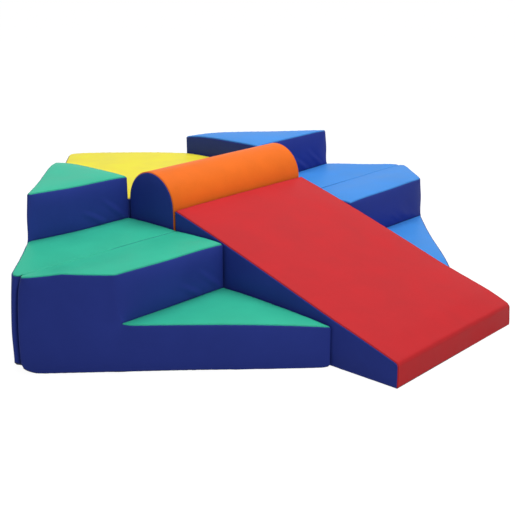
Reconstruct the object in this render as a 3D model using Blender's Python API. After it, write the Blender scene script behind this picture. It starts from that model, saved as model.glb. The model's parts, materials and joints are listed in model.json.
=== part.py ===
"""Soft play foam climber: seven upholstered foam blocks standing as a diamond.

A slide wedge runs from the middle to the front corner. An arch block spans its top,
a platform fills the back corner, and a green and a blue staircase of two blocks each
fill the left and the right corner. The two blocks of a staircase fold over each other
on the unbroken cover of their middle tread.
Lengths are in metres. The slide goes down towards -Y, and +Z is up.
"""
import math

import bmesh
import bpy
from mathutils import Vector

# Slide wedge
SLIDE_WIDTH = 0.610
SLIDE_LENGTH = 0.843
SLIDE_TOP_HEIGHT = 0.338
SLIDE_FOOT_HEIGHT = 0.075
SLIDE_BEHIND_FOLD = 0.017
SLIDE_NOSE_RADIUS = 0.008
SLIDE_CROWN = 0.004

# Arch block
ARCH_WIDTH = 0.610
ARCH_DEPTH = 0.206
ARCH_SHOULDER_HEIGHT = 0.338
ARCH_CROWN = 0.004

# Platform
PLATFORM_HEIGHT = 0.338
PLATFORM_NOSE = 0.335
PLATFORM_CORNER_RADIUS = 0.030

# Staircases
STAIR_WIDTH = 0.610
STAIR_HALF_LENGTH = 0.610
STEP_RISE = 0.138
FRONT_TREAD_DEPTH = 0.198
BACK_TREAD_DEPTH = 0.227
FOLD_GAP = 0.0008
FOLD_AXIS_ABOVE_EDGE = 0.003

# Soft shape shared by the upholstered tops
TREAD_CROWN = 0.006
EDGE_LIFT = 0.003
CORNER_DROOP = 0.004
CORNER_RADIUS = 0.006

# Covers and fits
COVER_THICKNESS = 0.0012
BASE_THICKNESS = 0.002
FIT = 0.0004
SEAT = 0.0003

# Hook and loop strips, sewn on the hidden faces in pairs that meet
STRIP_THICKNESS = 0.003
STRIP_LENGTH = 0.150
STRIP_WIDTH = 0.050
STRIP_HEIGHT = 0.105
STRIP_FROM_FOLD = 0.050

# Zips, low on the hidden faces
ZIP_LENGTH = 0.400
ZIP_HEIGHT = 0.030
ZIP_FROM_CORNER = 0.060
PLATFORM_ZIP_LENGTH = 0.260
PLATFORM_ZIP_HEIGHT = 0.070
TAPE_WIDTH = 0.026
TAPE_THICKNESS = 0.0006
CHAIN_WIDTH = 0.006
CHAIN_THICKNESS = 0.001
SLIDER_WIDTH = 0.010
SLIDER_LENGTH = 0.014
SLIDER_THICKNESS = 0.0012

# Places that follow from the sizes above
PAIR_GAP = 2 * STRIP_THICKNESS + 3 * SEAT
HALF_WIDTH = SLIDE_WIDTH / 2
STAIR_INNER_X = HALF_WIDTH + PAIR_GAP
SLIDE_BACK_Y = SLIDE_BEHIND_FOLD
SLIDE_FRONT_Y = SLIDE_BACK_Y - SLIDE_LENGTH
ARCH_FRONT_Y = SLIDE_BACK_Y + PAIR_GAP
ARCH_BACK_Y = ARCH_FRONT_Y + ARCH_DEPTH
PLATFORM_FRONT_Y = ARCH_BACK_Y + PAIR_GAP
PLATFORM_SIDE_END_Y = STAIR_HALF_LENGTH
PLATFORM_APEX_Y = PLATFORM_SIDE_END_Y + PLATFORM_NOSE
MIDDLE_LEVEL = 2 * STEP_RISE
TOP_LEVEL = 3 * STEP_RISE
SKIN = COVER_THICKNESS + FIT
FLOOR_LINE = BASE_THICKNESS + SEAT

# Shares along an edge, and from the rim of a top to its middle
EDGE_SHARES = (0.03, 0.30, 0.70, 0.97)
RING_SHARES = (0.0, 0.08, 0.35, 0.75)
RISE_SHARES = (0.0, 0.35, 0.80, 1.0)
LIFT_POWER = 4
ARC_STEPS = 2
ROUND_STEPS = 12
NOSE_STEPS = 3
SHARP_DEGREES = 30

FINISHES = {
    "navy": ("26306f", 0.45),
    "red": ("cd3e40", 0.45),
    "orange": ("fb7a36", 0.45),
    "yellow": ("fbe95c", 0.45),
    "green": ("43bd9f", 0.45),
    "blue": ("5a9feb", 0.45),
    "foam": ("e9e4d4", 0.95),
    "base": ("20242c", 0.80),
    "tape": ("15171c", 0.75),
    "slider": ("8d9196", 0.35),
}
METAL_FINISHES = ("slider",)


def linear_colour(hex_colour):
    """Return a linear RGBA colour for an sRGB hex string."""
    channels = [int(hex_colour[i:i + 2], 16) / 255 for i in (0, 2, 4)]
    return [c / 12.92 if c <= 0.04045 else ((c + 0.055) / 1.055) ** 2.4 for c in channels] + [1.0]


def make_material(name, finish):
    """Give one sub-part its own material."""
    hex_colour, roughness = FINISHES[finish]
    material = bpy.data.materials.new(name + "_" + finish)
    material.use_nodes = True
    shader = material.node_tree.nodes["Principled BSDF"]
    shader.inputs["Base Color"].default_value = linear_colour(hex_colour)
    shader.inputs["Roughness"].default_value = roughness
    shader.inputs["Metallic"].default_value = 1.0 if finish in METAL_FINISHES else 0.0
    return material


def corner_angle(corners, index):
    """Return the directions to both neighbours of a corner and the angle between them."""
    here = corners[index]
    before = (corners[index - 1] - here).normalized()
    after = (corners[(index + 1) % len(corners)] - here).normalized()
    return before, after, before.angle(after)


PLATFORM_CORNERS = [
    Vector((-HALF_WIDTH, PLATFORM_FRONT_Y)),
    Vector((HALF_WIDTH, PLATFORM_FRONT_Y)),
    Vector((HALF_WIDTH, PLATFORM_SIDE_END_Y)),
    Vector((0, PLATFORM_APEX_Y)),
    Vector((-HALF_WIDTH, PLATFORM_SIDE_END_Y)),
]
APEX_INDEX = 3
APEX_HALF_ANGLE = corner_angle(PLATFORM_CORNERS, APEX_INDEX)[2] / 2
PLATFORM_BACK_Y = PLATFORM_APEX_Y - PLATFORM_CORNER_RADIUS * (1 / math.sin(APEX_HALF_ANGLE) - 1)

# The model's origin is on the floor, under the middle of its outer size
ORIGIN = Vector((0, (SLIDE_FRONT_Y + PLATFORM_BACK_Y) / 2, 0))


def inset_corners(corners, insets):
    """Move each edge of a counter-clockwise polygon inwards by its own distance."""
    count = len(corners)
    lines = []
    for index in range(count):
        start = corners[index]
        along = (corners[(index + 1) % count] - start).normalized()
        inwards = Vector((-along.y, along.x))
        lines.append((start + inwards * insets[index], along))
    moved = []
    for index in range(count):
        first, first_along = lines[index - 1]
        second, second_along = lines[index]
        step = (second - first).cross(second_along) / first_along.cross(second_along)
        moved.append(first + first_along * step)
    return moved


def lift_share(share):
    """Return how far an edge has risen to its full height, from 0 at a corner to 1."""
    return 1 - (2 * share - 1) ** LIFT_POWER


def rounded_outline(corners, radii):
    """Return the points of a polygon with round corners, each with its lift share."""
    pieces = []
    for index, radius in enumerate(radii):
        here = corners[index]
        if radius == 0:
            pieces.append([here])
            continue
        before, after, angle = corner_angle(corners, index)
        centre = here + (before + after).normalized() * (radius / math.sin(angle / 2))
        start = here + before * (radius / math.tan(angle / 2))
        turn = math.pi - angle
        spoke = start - centre
        arc = []
        for step in range(ARC_STEPS + 1):
            spin = turn * step / ARC_STEPS
            arc.append(centre + Vector((spoke.x * math.cos(spin) - spoke.y * math.sin(spin),
                                        spoke.x * math.sin(spin) + spoke.y * math.cos(spin))))
        pieces.append(arc)
    outline = []
    for index, arc in enumerate(pieces):
        outline.extend((point, 0.0) for point in arc)
        end = pieces[(index + 1) % len(pieces)][0]
        outline.extend((arc[-1].lerp(end, share), lift_share(share)) for share in EDGE_SHARES)
    return outline


def edge_height(level, share):
    """Return the height of a top's rim, which droops at its corners."""
    return level - CORNER_DROOP + (CORNER_DROOP + EDGE_LIFT) * share


def crown_rings(corners, radii, level, drop):
    """Return rings from the rim of a crowned top to its middle, lowered by a drop."""
    outline = rounded_outline(corners, radii)
    middle = sum(corners, Vector((0, 0))) / len(corners)
    peak = level + TREAD_CROWN
    rings = []
    for ring_share, rise_share in zip(RING_SHARES, RISE_SHARES):
        ring = []
        for point, share in outline:
            flat = point.lerp(middle, ring_share)
            rim = edge_height(level, share)
            ring.append(Vector((flat.x, flat.y, rim + (peak - rim) * rise_share - drop)))
        rings.append(ring)
    return rings


def level_ring(outline, height):
    """Return an outline as a flat ring at one height."""
    return [Vector((point.x, point.y, height)) for point, share in outline]


def smaller(radii, amount):
    """Return the radii of an outline's corners after it is inset by an amount."""
    return [radius - amount if radius else 0 for radius in radii]


def even(corners, inset):
    """Return one inset for each edge of a polygon."""
    return [inset] * len(corners)


def module_empty(name, anchor):
    """Add the empty that carries a module, on its joint's axis."""
    empty = bpy.data.objects.new(name, None)
    empty.location = anchor - ORIGIN
    bpy.context.collection.objects.link(empty)
    return empty


def add_piece(name, rings, finish, parent, loop=False, anchor=None):
    """Add one closed solid from rings of equally many points.

    The first and the last ring are closed with a face, or joined to each other
    where the rings go round in a loop. A piece with an anchor has its own origin there,
    and any other has the origin of the empty that carries it.
    """
    mesh = bpy.data.meshes.new(name)
    shape = bmesh.new()
    own_origin = anchor or parent.location + ORIGIN
    rows = [[shape.verts.new(point - own_origin) for point in ring] for ring in rings]
    pairs = list(zip(rows, rows[1:]))
    if loop:
        pairs.append((rows[-1], rows[0]))
    for low, high in pairs:
        count = len(low)
        for index in range(count):
            after = (index + 1) % count
            a, b, c, d = low[index], low[after], high[after], high[index]
            if a.co.z + c.co.z >= b.co.z + d.co.z:
                shape.faces.new((a, b, c))
                shape.faces.new((a, c, d))
            else:
                shape.faces.new((a, b, d))
                shape.faces.new((b, c, d))
    if not loop:
        shape.faces.new(rows[0])
        shape.faces.new(rows[-1])
    bmesh.ops.recalc_face_normals(shape, faces=shape.faces)
    shape.to_mesh(mesh)
    shape.free()
    mesh.materials.append(make_material(name, finish))
    piece = bpy.data.objects.new(name, mesh)
    piece.parent = parent
    piece.location = own_origin - ORIGIN - parent.location
    bpy.context.collection.objects.link(piece)
    mesh.shade_smooth()
    mesh.set_sharp_from_angle(angle=math.radians(SHARP_DEGREES))
    return piece


def join_solid(piece, other):
    """Join another closed solid to a piece, and remove the other."""
    union = piece.modifiers.new("join", "BOOLEAN")
    union.operation = "UNION"
    union.solver = "EXACT"
    union.object = other
    bpy.context.view_layer.update()
    joined = bpy.data.meshes.new_from_object(piece.evaluated_get(bpy.context.evaluated_depsgraph_get()))
    piece.modifiers.clear()
    old = piece.data
    piece.data = joined
    joined.name = old.name
    bpy.data.objects.remove(other)


def top_panel(name, corners, radii, level, finish, parent, place):
    """Add the vinyl of a crowned top, from its underside round its rim to its top side."""
    upper = crown_rings(corners, radii, level, 0)
    lower = crown_rings(corners, radii, level, COVER_THICKNESS)
    rings = lower[::-1] + upper
    return add_piece(name, [[place(point) for point in ring] for ring in rings], finish, parent)


def foam_core(name, corners, radii, level, parent, place):
    """Add a foam block whose crowned top fits under its vinyl."""
    rings = crown_rings(corners, radii, level, SKIN)
    rings.insert(0, level_ring(rounded_outline(corners, radii), FLOOR_LINE))
    return add_piece(name, [[place(point) for point in ring] for ring in rings], "foam", parent)


def wall_rings(corners, radii, level, floor_heights=None):
    """Return the four rings of a side cover that goes round a block."""
    outer = rounded_outline(corners, radii)
    inner = rounded_outline(inset_corners(corners, even(corners, COVER_THICKNESS)),
                            smaller(radii, COVER_THICKNESS))
    floors = floor_heights or [FLOOR_LINE] * len(outer)
    tops = [edge_height(level, share) - SKIN for point, share in outer]
    return [
        [Vector((p.x, p.y, z)) for (p, s), z in zip(outer, floors)],
        [Vector((p.x, p.y, z)) for (p, s), z in zip(outer, tops)],
        [Vector((p.x, p.y, z)) for (p, s), z in zip(inner, tops)],
        [Vector((p.x, p.y, z)) for (p, s), z in zip(inner, floors)],
    ]


def base_panel(name, corners, radii, parent, place):
    """Add the flat base panel that stands on the floor."""
    outline = rounded_outline(corners, radii)
    rings = [level_ring(outline, 0), level_ring(outline, BASE_THICKNESS)]
    return add_piece(name, [[place(point) for point in ring] for ring in rings], "base", parent)


def on_face(start, along, outwards, profile, length):
    """Return two rings: a profile of (up, out) points drawn along a vertical face."""
    rings = []
    for distance in (0, length):
        spot = start + along * distance
        rings.append([spot + Vector((0, 0, up)) + outwards * out for up, out in profile])
    return rings


def strip(name, start, along, outwards, parent):
    """Add one hook or loop strip on a vertical face."""
    half = STRIP_WIDTH / 2
    near = SEAT
    far = SEAT + STRIP_THICKNESS
    profile = ((-half, near), (half, near), (half, far), (-half, far))
    add_piece(name, on_face(start, along, outwards, profile, STRIP_LENGTH), "tape", parent)


def zip_pair(prefix, start, along, outwards, length, parent):
    """Add a zip on a vertical face, and the slider that runs along its chain."""
    tape = TAPE_WIDTH / 2
    chain = CHAIN_WIDTH / 2
    slider = SLIDER_WIDTH / 2
    back = SEAT
    tape_top = back + TAPE_THICKNESS
    chain_top = tape_top + CHAIN_THICKNESS
    profile = ((-tape, back), (tape, back), (tape, tape_top), (chain, tape_top),
               (chain, chain_top), (-chain, chain_top), (-chain, tape_top), (-tape, tape_top))
    add_piece(prefix + "_zip", on_face(start, along, outwards, profile, length), "tape", parent)
    under = tape_top + SEAT
    roof = chain_top + SEAT
    slider_top = roof + SLIDER_THICKNESS
    throat = chain + SEAT
    profile = ((-slider, under), (-throat, under), (-throat, roof), (throat, roof),
               (throat, under), (slider, under), (slider, slider_top), (-slider, slider_top))
    add_piece(prefix + "_zip_slider", on_face(start, along, outwards, profile, SLIDER_LENGTH),
              "slider", parent, anchor=start)


def same_place(point):
    """Leave a point where it is."""
    return point


def build_platform():
    """Build the yellow platform in the back corner."""
    parent = module_empty("platform_block", Vector((0, PLATFORM_FRONT_Y, 0)))
    corners = PLATFORM_CORNERS
    radii = [CORNER_RADIUS] * len(corners)
    radii[APEX_INDEX] = PLATFORM_CORNER_RADIUS
    core = inset_corners(corners, even(corners, SKIN))
    foam_core("platform_core", core, smaller(radii, SKIN), PLATFORM_HEIGHT, parent, same_place)
    add_piece("platform_side_cover", wall_rings(corners, radii, PLATFORM_HEIGHT), "navy", parent, True)
    top_panel("platform_top", corners, radii, PLATFORM_HEIGHT, "yellow", parent, same_place)
    base_panel("platform_base", corners, radii, parent, same_place)
    strip("platform_hook_strip", Vector((-STRIP_LENGTH / 2, PLATFORM_FRONT_Y, STRIP_HEIGHT)),
          Vector((1, 0, 0)), Vector((0, -1, 0)), parent)
    zip_pair("platform", Vector((HALF_WIDTH, PLATFORM_FRONT_Y + ZIP_FROM_CORNER, PLATFORM_ZIP_HEIGHT)),
             Vector((0, 1, 0)), Vector((1, 0, 0)), PLATFORM_ZIP_LENGTH, parent)


def arch_outline(inset):
    """Return the side view of the arch block as (y, z) points, foot to foot over the top."""
    middle = (ARCH_FRONT_Y + ARCH_BACK_Y) / 2
    radius = ARCH_DEPTH / 2 - inset
    points = [Vector((middle - radius, FLOOR_LINE))]
    for step in range(ROUND_STEPS + 1):
        turn = math.pi * step / ROUND_STEPS
        points.append(Vector((middle - radius * math.cos(turn),
                              ARCH_SHOULDER_HEIGHT + radius * math.sin(turn))))
    points.append(Vector((middle + radius, FLOOR_LINE)))
    return points


def arch_rings(inset, face_x, side):
    """Return rings of the arch's end, from its rim to its crowned middle."""
    outline = arch_outline(inset)
    middle = Vector(((ARCH_FRONT_Y + ARCH_BACK_Y) / 2, ARCH_SHOULDER_HEIGHT / 2))
    rings = []
    for ring_share, rise_share in zip(RING_SHARES, RISE_SHARES):
        depth = face_x + ARCH_CROWN * rise_share
        flat = [point.lerp(middle, ring_share) for point in outline]
        rings.append([Vector((side * depth, point.x, point.y)) for point in flat])
    return rings


def build_arch():
    """Build the orange arch block, the middle of the climber."""
    parent = module_empty("arch_block", Vector((0, ARCH_FRONT_Y, 0)))
    rim_x = ARCH_WIDTH / 2 - ARCH_CROWN
    core_x = rim_x - SKIN
    core = arch_rings(SKIN, core_x, -1)[::-1] + arch_rings(SKIN, core_x, 1)
    add_piece("arch_core", core, "foam", parent)
    for name, side in (("arch_left_end_cap", -1), ("arch_right_end_cap", 1)):
        outside = arch_rings(0, rim_x, side)
        inside = arch_rings(0, rim_x - COVER_THICKNESS, side)
        add_piece(name, inside[::-1] + outside, "navy", parent)
    wrap = []
    for outer, inner in zip(arch_outline(0), arch_outline(COVER_THICKNESS)):
        wrap.append([Vector((-core_x, outer.x, outer.y)), Vector((core_x, outer.x, outer.y)),
                     Vector((core_x, inner.x, inner.y)), Vector((-core_x, inner.x, inner.y))])
    add_piece("arch_top_cover", wrap, "orange", parent)
    corners = [Vector((-rim_x, ARCH_FRONT_Y)), Vector((rim_x, ARCH_FRONT_Y)),
               Vector((rim_x, ARCH_BACK_Y)), Vector((-rim_x, ARCH_BACK_Y))]
    base_panel("arch_base", corners, [CORNER_RADIUS] * len(corners), parent, same_place)
    across = Vector((1, 0, 0))
    strip("arch_front_loop_strip", Vector((-STRIP_LENGTH / 2, ARCH_FRONT_Y, STRIP_HEIGHT)),
          across, Vector((0, -1, 0)), parent)
    strip("arch_back_loop_strip", Vector((-STRIP_LENGTH / 2, ARCH_BACK_Y, STRIP_HEIGHT)),
          across, Vector((0, 1, 0)), parent)
    zip_pair("arch", Vector((-ZIP_LENGTH / 2, ARCH_BACK_Y, ZIP_HEIGHT)),
             across, Vector((0, 1, 0)), ZIP_LENGTH, parent)


def slide_path(inset):
    """Return the slide's side view as (y, z) points, from its nose up to its top end."""
    slope = math.atan2(SLIDE_TOP_HEIGHT - SLIDE_FOOT_HEIGHT, SLIDE_LENGTH)
    radius = SLIDE_NOSE_RADIUS
    nose_y = SLIDE_FRONT_Y + radius
    nose_z = SLIDE_FOOT_HEIGHT + radius * math.tan(slope) - radius / math.cos(slope)
    points = []
    for step in range(NOSE_STEPS + 1):
        turn = math.pi - (math.pi / 2 - slope) * step / NOSE_STEPS
        reach = radius - inset
        points.append(Vector((nose_y + reach * math.cos(turn), nose_z + reach * math.sin(turn))))
    end_y = SLIDE_BACK_Y - (inset if inset > COVER_THICKNESS else 0)
    end = Vector((end_y, SLIDE_TOP_HEIGHT - inset / math.cos(slope)
                  - (SLIDE_BACK_Y - end_y) * math.tan(slope)))
    start = points[-1]
    points.extend(start.lerp(end, share) for share in EDGE_SHARES)
    points.append(end)
    return points


def slide_lifts():
    """Return the crown share of each point of the slide's path."""
    return [0.0] * (NOSE_STEPS + 1) + [lift_share(share) for share in EDGE_SHARES] + [0.0]


def across_points(half, path_point, crown_share):
    """Return the points of the slide's top surface across its width, left to right."""
    row = [Vector((-half, path_point.x, path_point.y))]
    for share in EDGE_SHARES:
        height = path_point.y + SLIDE_CROWN * crown_share * lift_share(share)
        row.append(Vector((half * (2 * share - 1), path_point.x, height)))
    row.append(Vector((half, path_point.x, path_point.y)))
    return row


def build_slide():
    """Build the red slide wedge."""
    parent = module_empty("slide_block", Vector((0, SLIDE_BACK_Y, 0)))
    lifts = slide_lifts()
    half = HALF_WIDTH - SKIN
    core = []
    for point, lift in zip(slide_path(SKIN), lifts):
        row = across_points(half, point, lift)
        core.append([Vector((half, point.x, FLOOR_LINE)), Vector((-half, point.x, FLOOR_LINE))] + row)
    add_piece("slide_core", core, "foam", parent)
    outer_path = slide_path(0)
    inner_path = slide_path(COVER_THICKNESS)
    foot_outer = Vector((outer_path[0].x, FLOOR_LINE))
    foot_inner = Vector((inner_path[0].x, FLOOR_LINE))
    panel = []
    for outer, inner, lift in zip([foot_outer] + outer_path, [foot_inner] + inner_path, [0.0] + lifts):
        panel.append(across_points(HALF_WIDTH, outer, lift)
                     + across_points(HALF_WIDTH, inner, lift)[::-1])
    add_piece("slide_top_cover", panel, "red", parent)
    build_slide_sides(parent)
    corners = [Vector((-HALF_WIDTH, SLIDE_FRONT_Y)), Vector((HALF_WIDTH, SLIDE_FRONT_Y)),
               Vector((HALF_WIDTH, SLIDE_BACK_Y)), Vector((-HALF_WIDTH, SLIDE_BACK_Y))]
    base_panel("slide_base", corners, [0] * len(corners), parent, same_place)
    strip("slide_back_hook_strip", Vector((-STRIP_LENGTH / 2, SLIDE_BACK_Y, STRIP_HEIGHT)),
          Vector((1, 0, 0)), Vector((0, 1, 0)), parent)
    side_start = -STRIP_FROM_FOLD - STRIP_LENGTH
    for name, side in (("slide_left_hook_strip", -1), ("slide_right_hook_strip", 1)):
        strip(name, Vector((side * HALF_WIDTH, side_start, STRIP_HEIGHT)),
              Vector((0, 1, 0)), Vector((side, 0, 0)), parent)
    zip_pair("slide", Vector((-ZIP_LENGTH / 2, SLIDE_BACK_Y, ZIP_HEIGHT)),
             Vector((1, 0, 0)), Vector((0, 1, 0)), ZIP_LENGTH, parent)


def build_slide_sides(parent):
    """Build the navy cover of the slide's two sides and its back, open at the foot."""
    path = slide_path(SKIN)
    slope = (path[-1].y - path[NOSE_STEPS].y) / (path[-1].x - path[NOSE_STEPS].x)
    back_top = path[-1].y + slope * (SLIDE_BACK_Y - path[-1].x)
    stations = [(path[0].x, path[0].y), (path[NOSE_STEPS].x, path[NOSE_STEPS].y)]
    walls = []
    for y, top in stations:
        walls.append((HALF_WIDTH, y, HALF_WIDTH - COVER_THICKNESS, y, top))
    walls.append((HALF_WIDTH, SLIDE_BACK_Y, HALF_WIDTH - COVER_THICKNESS,
                  SLIDE_BACK_Y - COVER_THICKNESS, back_top - slope * COVER_THICKNESS))
    rings = []
    for side, order in ((-1, walls), (1, walls[::-1])):
        for outer_x, outer_y, inner_x, inner_y, top in order:
            rings.append([Vector((side * outer_x, outer_y, FLOOR_LINE)),
                          Vector((side * outer_x, outer_y, top)),
                          Vector((side * inner_x, inner_y, top)),
                          Vector((side * inner_x, inner_y, FLOOR_LINE))])
    add_piece("slide_side_cover", rings, "navy", parent)


def riser_floors(outline, riser_start, riser_height):
    """Return the low edge of a side cover, raised along its riser."""
    floors = [FLOOR_LINE] * len(outline)
    for step in range(len(EDGE_SHARES)):
        floors[riser_start + step] = riser_height
    return floors


def build_stair_block(colour, side, way, name, far_name, far_level, depth, parent):
    """Build one block of a staircase: half of the middle tread and one triangular tread.

    Its plan is drawn as (distance out from the slide, distance from the fold), and
    side and way turn that into X and Y.
    """
    fold = FOLD_GAP / 2
    outer_at_depth = STAIR_WIDTH * (STAIR_HALF_LENGTH - depth) / (STAIR_HALF_LENGTH - fold)
    near = [Vector((0, fold)), Vector((STAIR_WIDTH, fold)),
            Vector((outer_at_depth, depth)), Vector((0, depth))]
    far = [Vector((0, depth)), Vector((outer_at_depth, depth)), Vector((0, STAIR_HALF_LENGTH))]
    whole = [near[0], near[1], far[2]]
    round_near = [CORNER_RADIUS, CORNER_RADIUS, 0, 0]
    round_far = [0, 0, CORNER_RADIUS]
    near_riser, far_riser = 2, 0
    near_is_high = MIDDLE_LEVEL > far_level

    def place(point):
        return Vector((side * (STAIR_INNER_X + point.x), way * point.y, point.z))

    prefix = colour + "_" + name
    parts = ((near, round_near, near_riser, MIDDLE_LEVEL, near_is_high, "_middle"),
             (far, round_far, far_riser, far_level, not near_is_high, "_" + far_name))
    for corners, radii, riser, level, high, part in parts:
        core_insets = even(corners, SKIN)
        tread_insets = even(corners, 0)
        if not high:
            core_insets[riser] = FIT
            tread_insets[riser] = FIT
        foam_core(prefix + part + "_core", inset_corners(corners, core_insets),
                  smaller(radii, SKIN), level, parent, place)
        top_panel(prefix + part + "_tread", inset_corners(corners, tread_insets), radii,
                  level, colour, parent, place)
    if near_is_high:
        tall, round_tall, tall_level, tall_riser = near, round_near, MIDDLE_LEVEL, near_riser
        low, round_low, low_level, low_riser = far, round_far, far_level, far_riser
    else:
        tall, round_tall, tall_level, tall_riser = far, round_far, far_level, far_riser
        low, round_low, low_level, low_riser = near, round_near, MIDDLE_LEVEL, near_riser
    tall_outline = rounded_outline(tall, round_tall)
    riser_point = next(i for i, (p, s) in enumerate(tall_outline)
                       if (p - tall[tall_riser]).length < FIT / 2) + 1
    floors = riser_floors(tall_outline, riser_point, low_level - CORNER_DROOP - SKIN)
    cover = add_piece(prefix + "_side_cover",
                      [[place(p) for p in ring] for ring in
                       wall_rings(tall, round_tall, tall_level, floors)], "navy", parent, True)
    overlaps = even(low, 0)
    overlaps[low_riser] = -COVER_THICKNESS / 2
    low_rings = wall_rings(inset_corners(low, overlaps), round_low, low_level)
    start = next(i for i, p in enumerate(low_rings[0])
                 if (p.xy - inset_corners(low, overlaps)[(low_riser + 1) % len(low)]).length < FIT / 2)
    count = len(low_rings[0]) - len(EDGE_SHARES)
    order = [(start + step) % len(low_rings[0]) for step in range(count)]
    sections = [[place(ring[index]) for ring in low_rings] for index in order]
    join_solid(cover, add_piece(prefix + "_low_wall", sections, "navy", parent))
    base_panel(prefix + "_base", whole, [CORNER_RADIUS] * len(whole), parent, place)
    inwards = Vector((-side, 0, 0))
    along = Vector((0, way, 0))
    zip_pair(prefix, Vector((side * STAIR_INNER_X, way * ZIP_FROM_CORNER, ZIP_HEIGHT)),
             along, inwards, ZIP_LENGTH, parent)
    if name == "front":
        strip(colour + "_loop_strip", Vector((side * STAIR_INNER_X, way * STRIP_FROM_FOLD, STRIP_HEIGHT)),
              along, inwards, parent)


def build_staircases():
    """Build the green staircase on the left and the blue one on the right."""
    fold_height = MIDDLE_LEVEL + EDGE_LIFT + FOLD_AXIS_ABOVE_EDGE
    for colour, side in (("green", -1), ("blue", 1)):
        front = module_empty(colour + "_front_block", Vector((side * STAIR_INNER_X, 0, 0)))
        build_stair_block(colour, side, -1, "front", "bottom", STEP_RISE, FRONT_TREAD_DEPTH, front)
        back = module_empty(colour + "_back_block", Vector((side * STAIR_INNER_X, 0, fold_height)))
        build_stair_block(colour, side, 1, "back", "top", TOP_LEVEL, BACK_TREAD_DEPTH, back)


def main():
    """Clear the scene and build every block."""
    for item in list(bpy.data.objects):
        bpy.data.objects.remove(item)
    build_slide()
    build_arch()
    build_platform()
    build_staircases()
    bpy.context.view_layer.update()


main()
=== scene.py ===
import json
import math

import bmesh
import bpy
import numpy as np
from bpy.props import FloatProperty, FloatVectorProperty, PointerProperty
from mathutils import Matrix, Vector, bvhtree, kdtree, noise

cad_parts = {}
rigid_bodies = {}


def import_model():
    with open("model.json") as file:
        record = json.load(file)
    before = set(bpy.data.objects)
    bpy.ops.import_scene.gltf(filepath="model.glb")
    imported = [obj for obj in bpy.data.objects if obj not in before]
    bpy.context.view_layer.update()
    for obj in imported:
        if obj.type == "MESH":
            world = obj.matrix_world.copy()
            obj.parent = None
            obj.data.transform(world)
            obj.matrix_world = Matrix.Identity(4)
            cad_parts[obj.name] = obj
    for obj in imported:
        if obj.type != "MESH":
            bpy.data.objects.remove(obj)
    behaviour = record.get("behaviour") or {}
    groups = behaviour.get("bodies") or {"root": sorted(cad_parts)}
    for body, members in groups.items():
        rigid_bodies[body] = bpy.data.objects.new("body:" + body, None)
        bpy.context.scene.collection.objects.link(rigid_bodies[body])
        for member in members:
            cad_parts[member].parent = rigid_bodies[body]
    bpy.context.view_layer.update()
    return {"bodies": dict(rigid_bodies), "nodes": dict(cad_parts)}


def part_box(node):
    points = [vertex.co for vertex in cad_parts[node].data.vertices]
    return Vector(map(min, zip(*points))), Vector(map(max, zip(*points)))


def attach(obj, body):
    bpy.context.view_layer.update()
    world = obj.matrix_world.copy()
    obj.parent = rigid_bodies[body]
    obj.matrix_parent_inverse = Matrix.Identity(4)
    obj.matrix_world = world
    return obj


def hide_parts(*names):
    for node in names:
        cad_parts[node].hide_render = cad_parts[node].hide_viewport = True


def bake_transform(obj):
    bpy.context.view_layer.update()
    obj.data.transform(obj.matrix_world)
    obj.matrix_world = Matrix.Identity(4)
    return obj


bl_info = {
    "name": "Soft Play Foam Climber",
    "version": (1, 0, 0),
    "blender": (4, 5, 0),
    "location": "View3D > Sidebar > Climber",
    "description": "Dresses the fixed frame of a foam climber with sewn vinyl covers",
    "category": "Object",
}

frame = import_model()

# Words of the frame's node names
SIDE_OF = {"green": -1, "blue": 1}
WAY_OF = {"front": -1, "back": 1}
FAR_TREAD = {"front": "bottom", "back": "top"}
RISES_UNDER = {"bottom": 1, "middle": 2, "top": 3}

# Shape of the blocks where the frame's boxes do not tell it
TREAD_CROWN = 0.006
SLIDE_FOOT_HEIGHT = 0.075
PLATFORM_SIDE = 0.3732
PLATFORM_NOSE = 0.335
TIP_RADIUS = 0.030
TIP_WEDGE = math.radians(45)
FOLD_EDGE_RADIUS = 0.0045
STEP_RADIUS = 0.040
STEP_WEDGE = math.radians(67.5)
PLATFORM_NOSE_RADIUS = 0.026
PLATFORM_NOSE_WEDGE = math.radians(42.3)
SLIDE_NOSE_RADIUS = 0.015
NOSE_LINES = [0, 0.003, 0.006]
STEP_TIP_RADIUS = 0.006
STEP_FADE = 0.015
CLEAR_RISE = 0.04

# How much of its crown the slope keeps beside its foot, and a middle tread beside its fold
FOOT_FADE, FOOT_LEAST = 0.08, 0.1
FOLD_FADE, FOLD_LEAST = 0.10, 0.15

# Rounding of a stair block's upright edges: its share at the floor, and what it gains by the top
FOLD_TIP_FLOOR, FOLD_TIP_TOP = 0.25, 1.7
STEP_TIP_FLOOR, STEP_TIP_TOP = 0.6, 0.9
TIP_GAIN_POWER = 3
# How far in from an edge its rounding fades out, in radii
ROUNDING_DEPTH = 3

# Swell of some sides and lift of the slide's seams, as shares of the common ones
RISER_SWELL = 1.1
SIDE_SWELL = 0.6
CAP_SWELL = 0.7
SLIDE_LIFT = 0.6
# How crisp a tread stays at its fold, from 0 to 1
FOLD_CREASE = 0.9

# Top seams of a stair block: ends, level, share of the lift by block, and share of the droop
STAIR_BOWS = (
    ("inner_fold", "outer_fold", "near", {"front": 0.8, "back": 0.8}, 0.4),
    ("outer_fold", "outer_step", "near", {"front": 1, "back": 1}, 1),
    ("inner_step", "inner_fold", "near", {"front": 0.3, "back": 0.3}, 0.4),
    ("outer_step", "far_tip", "far", {"front": 0, "back": 1}, 1),
    ("far_tip", "inner_step", "far", {"front": 0.3, "back": 0.3}, 0.4),
    ("inner_step", "outer_step", "high", {"front": 1, "back": 1}, 1),
)

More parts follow.
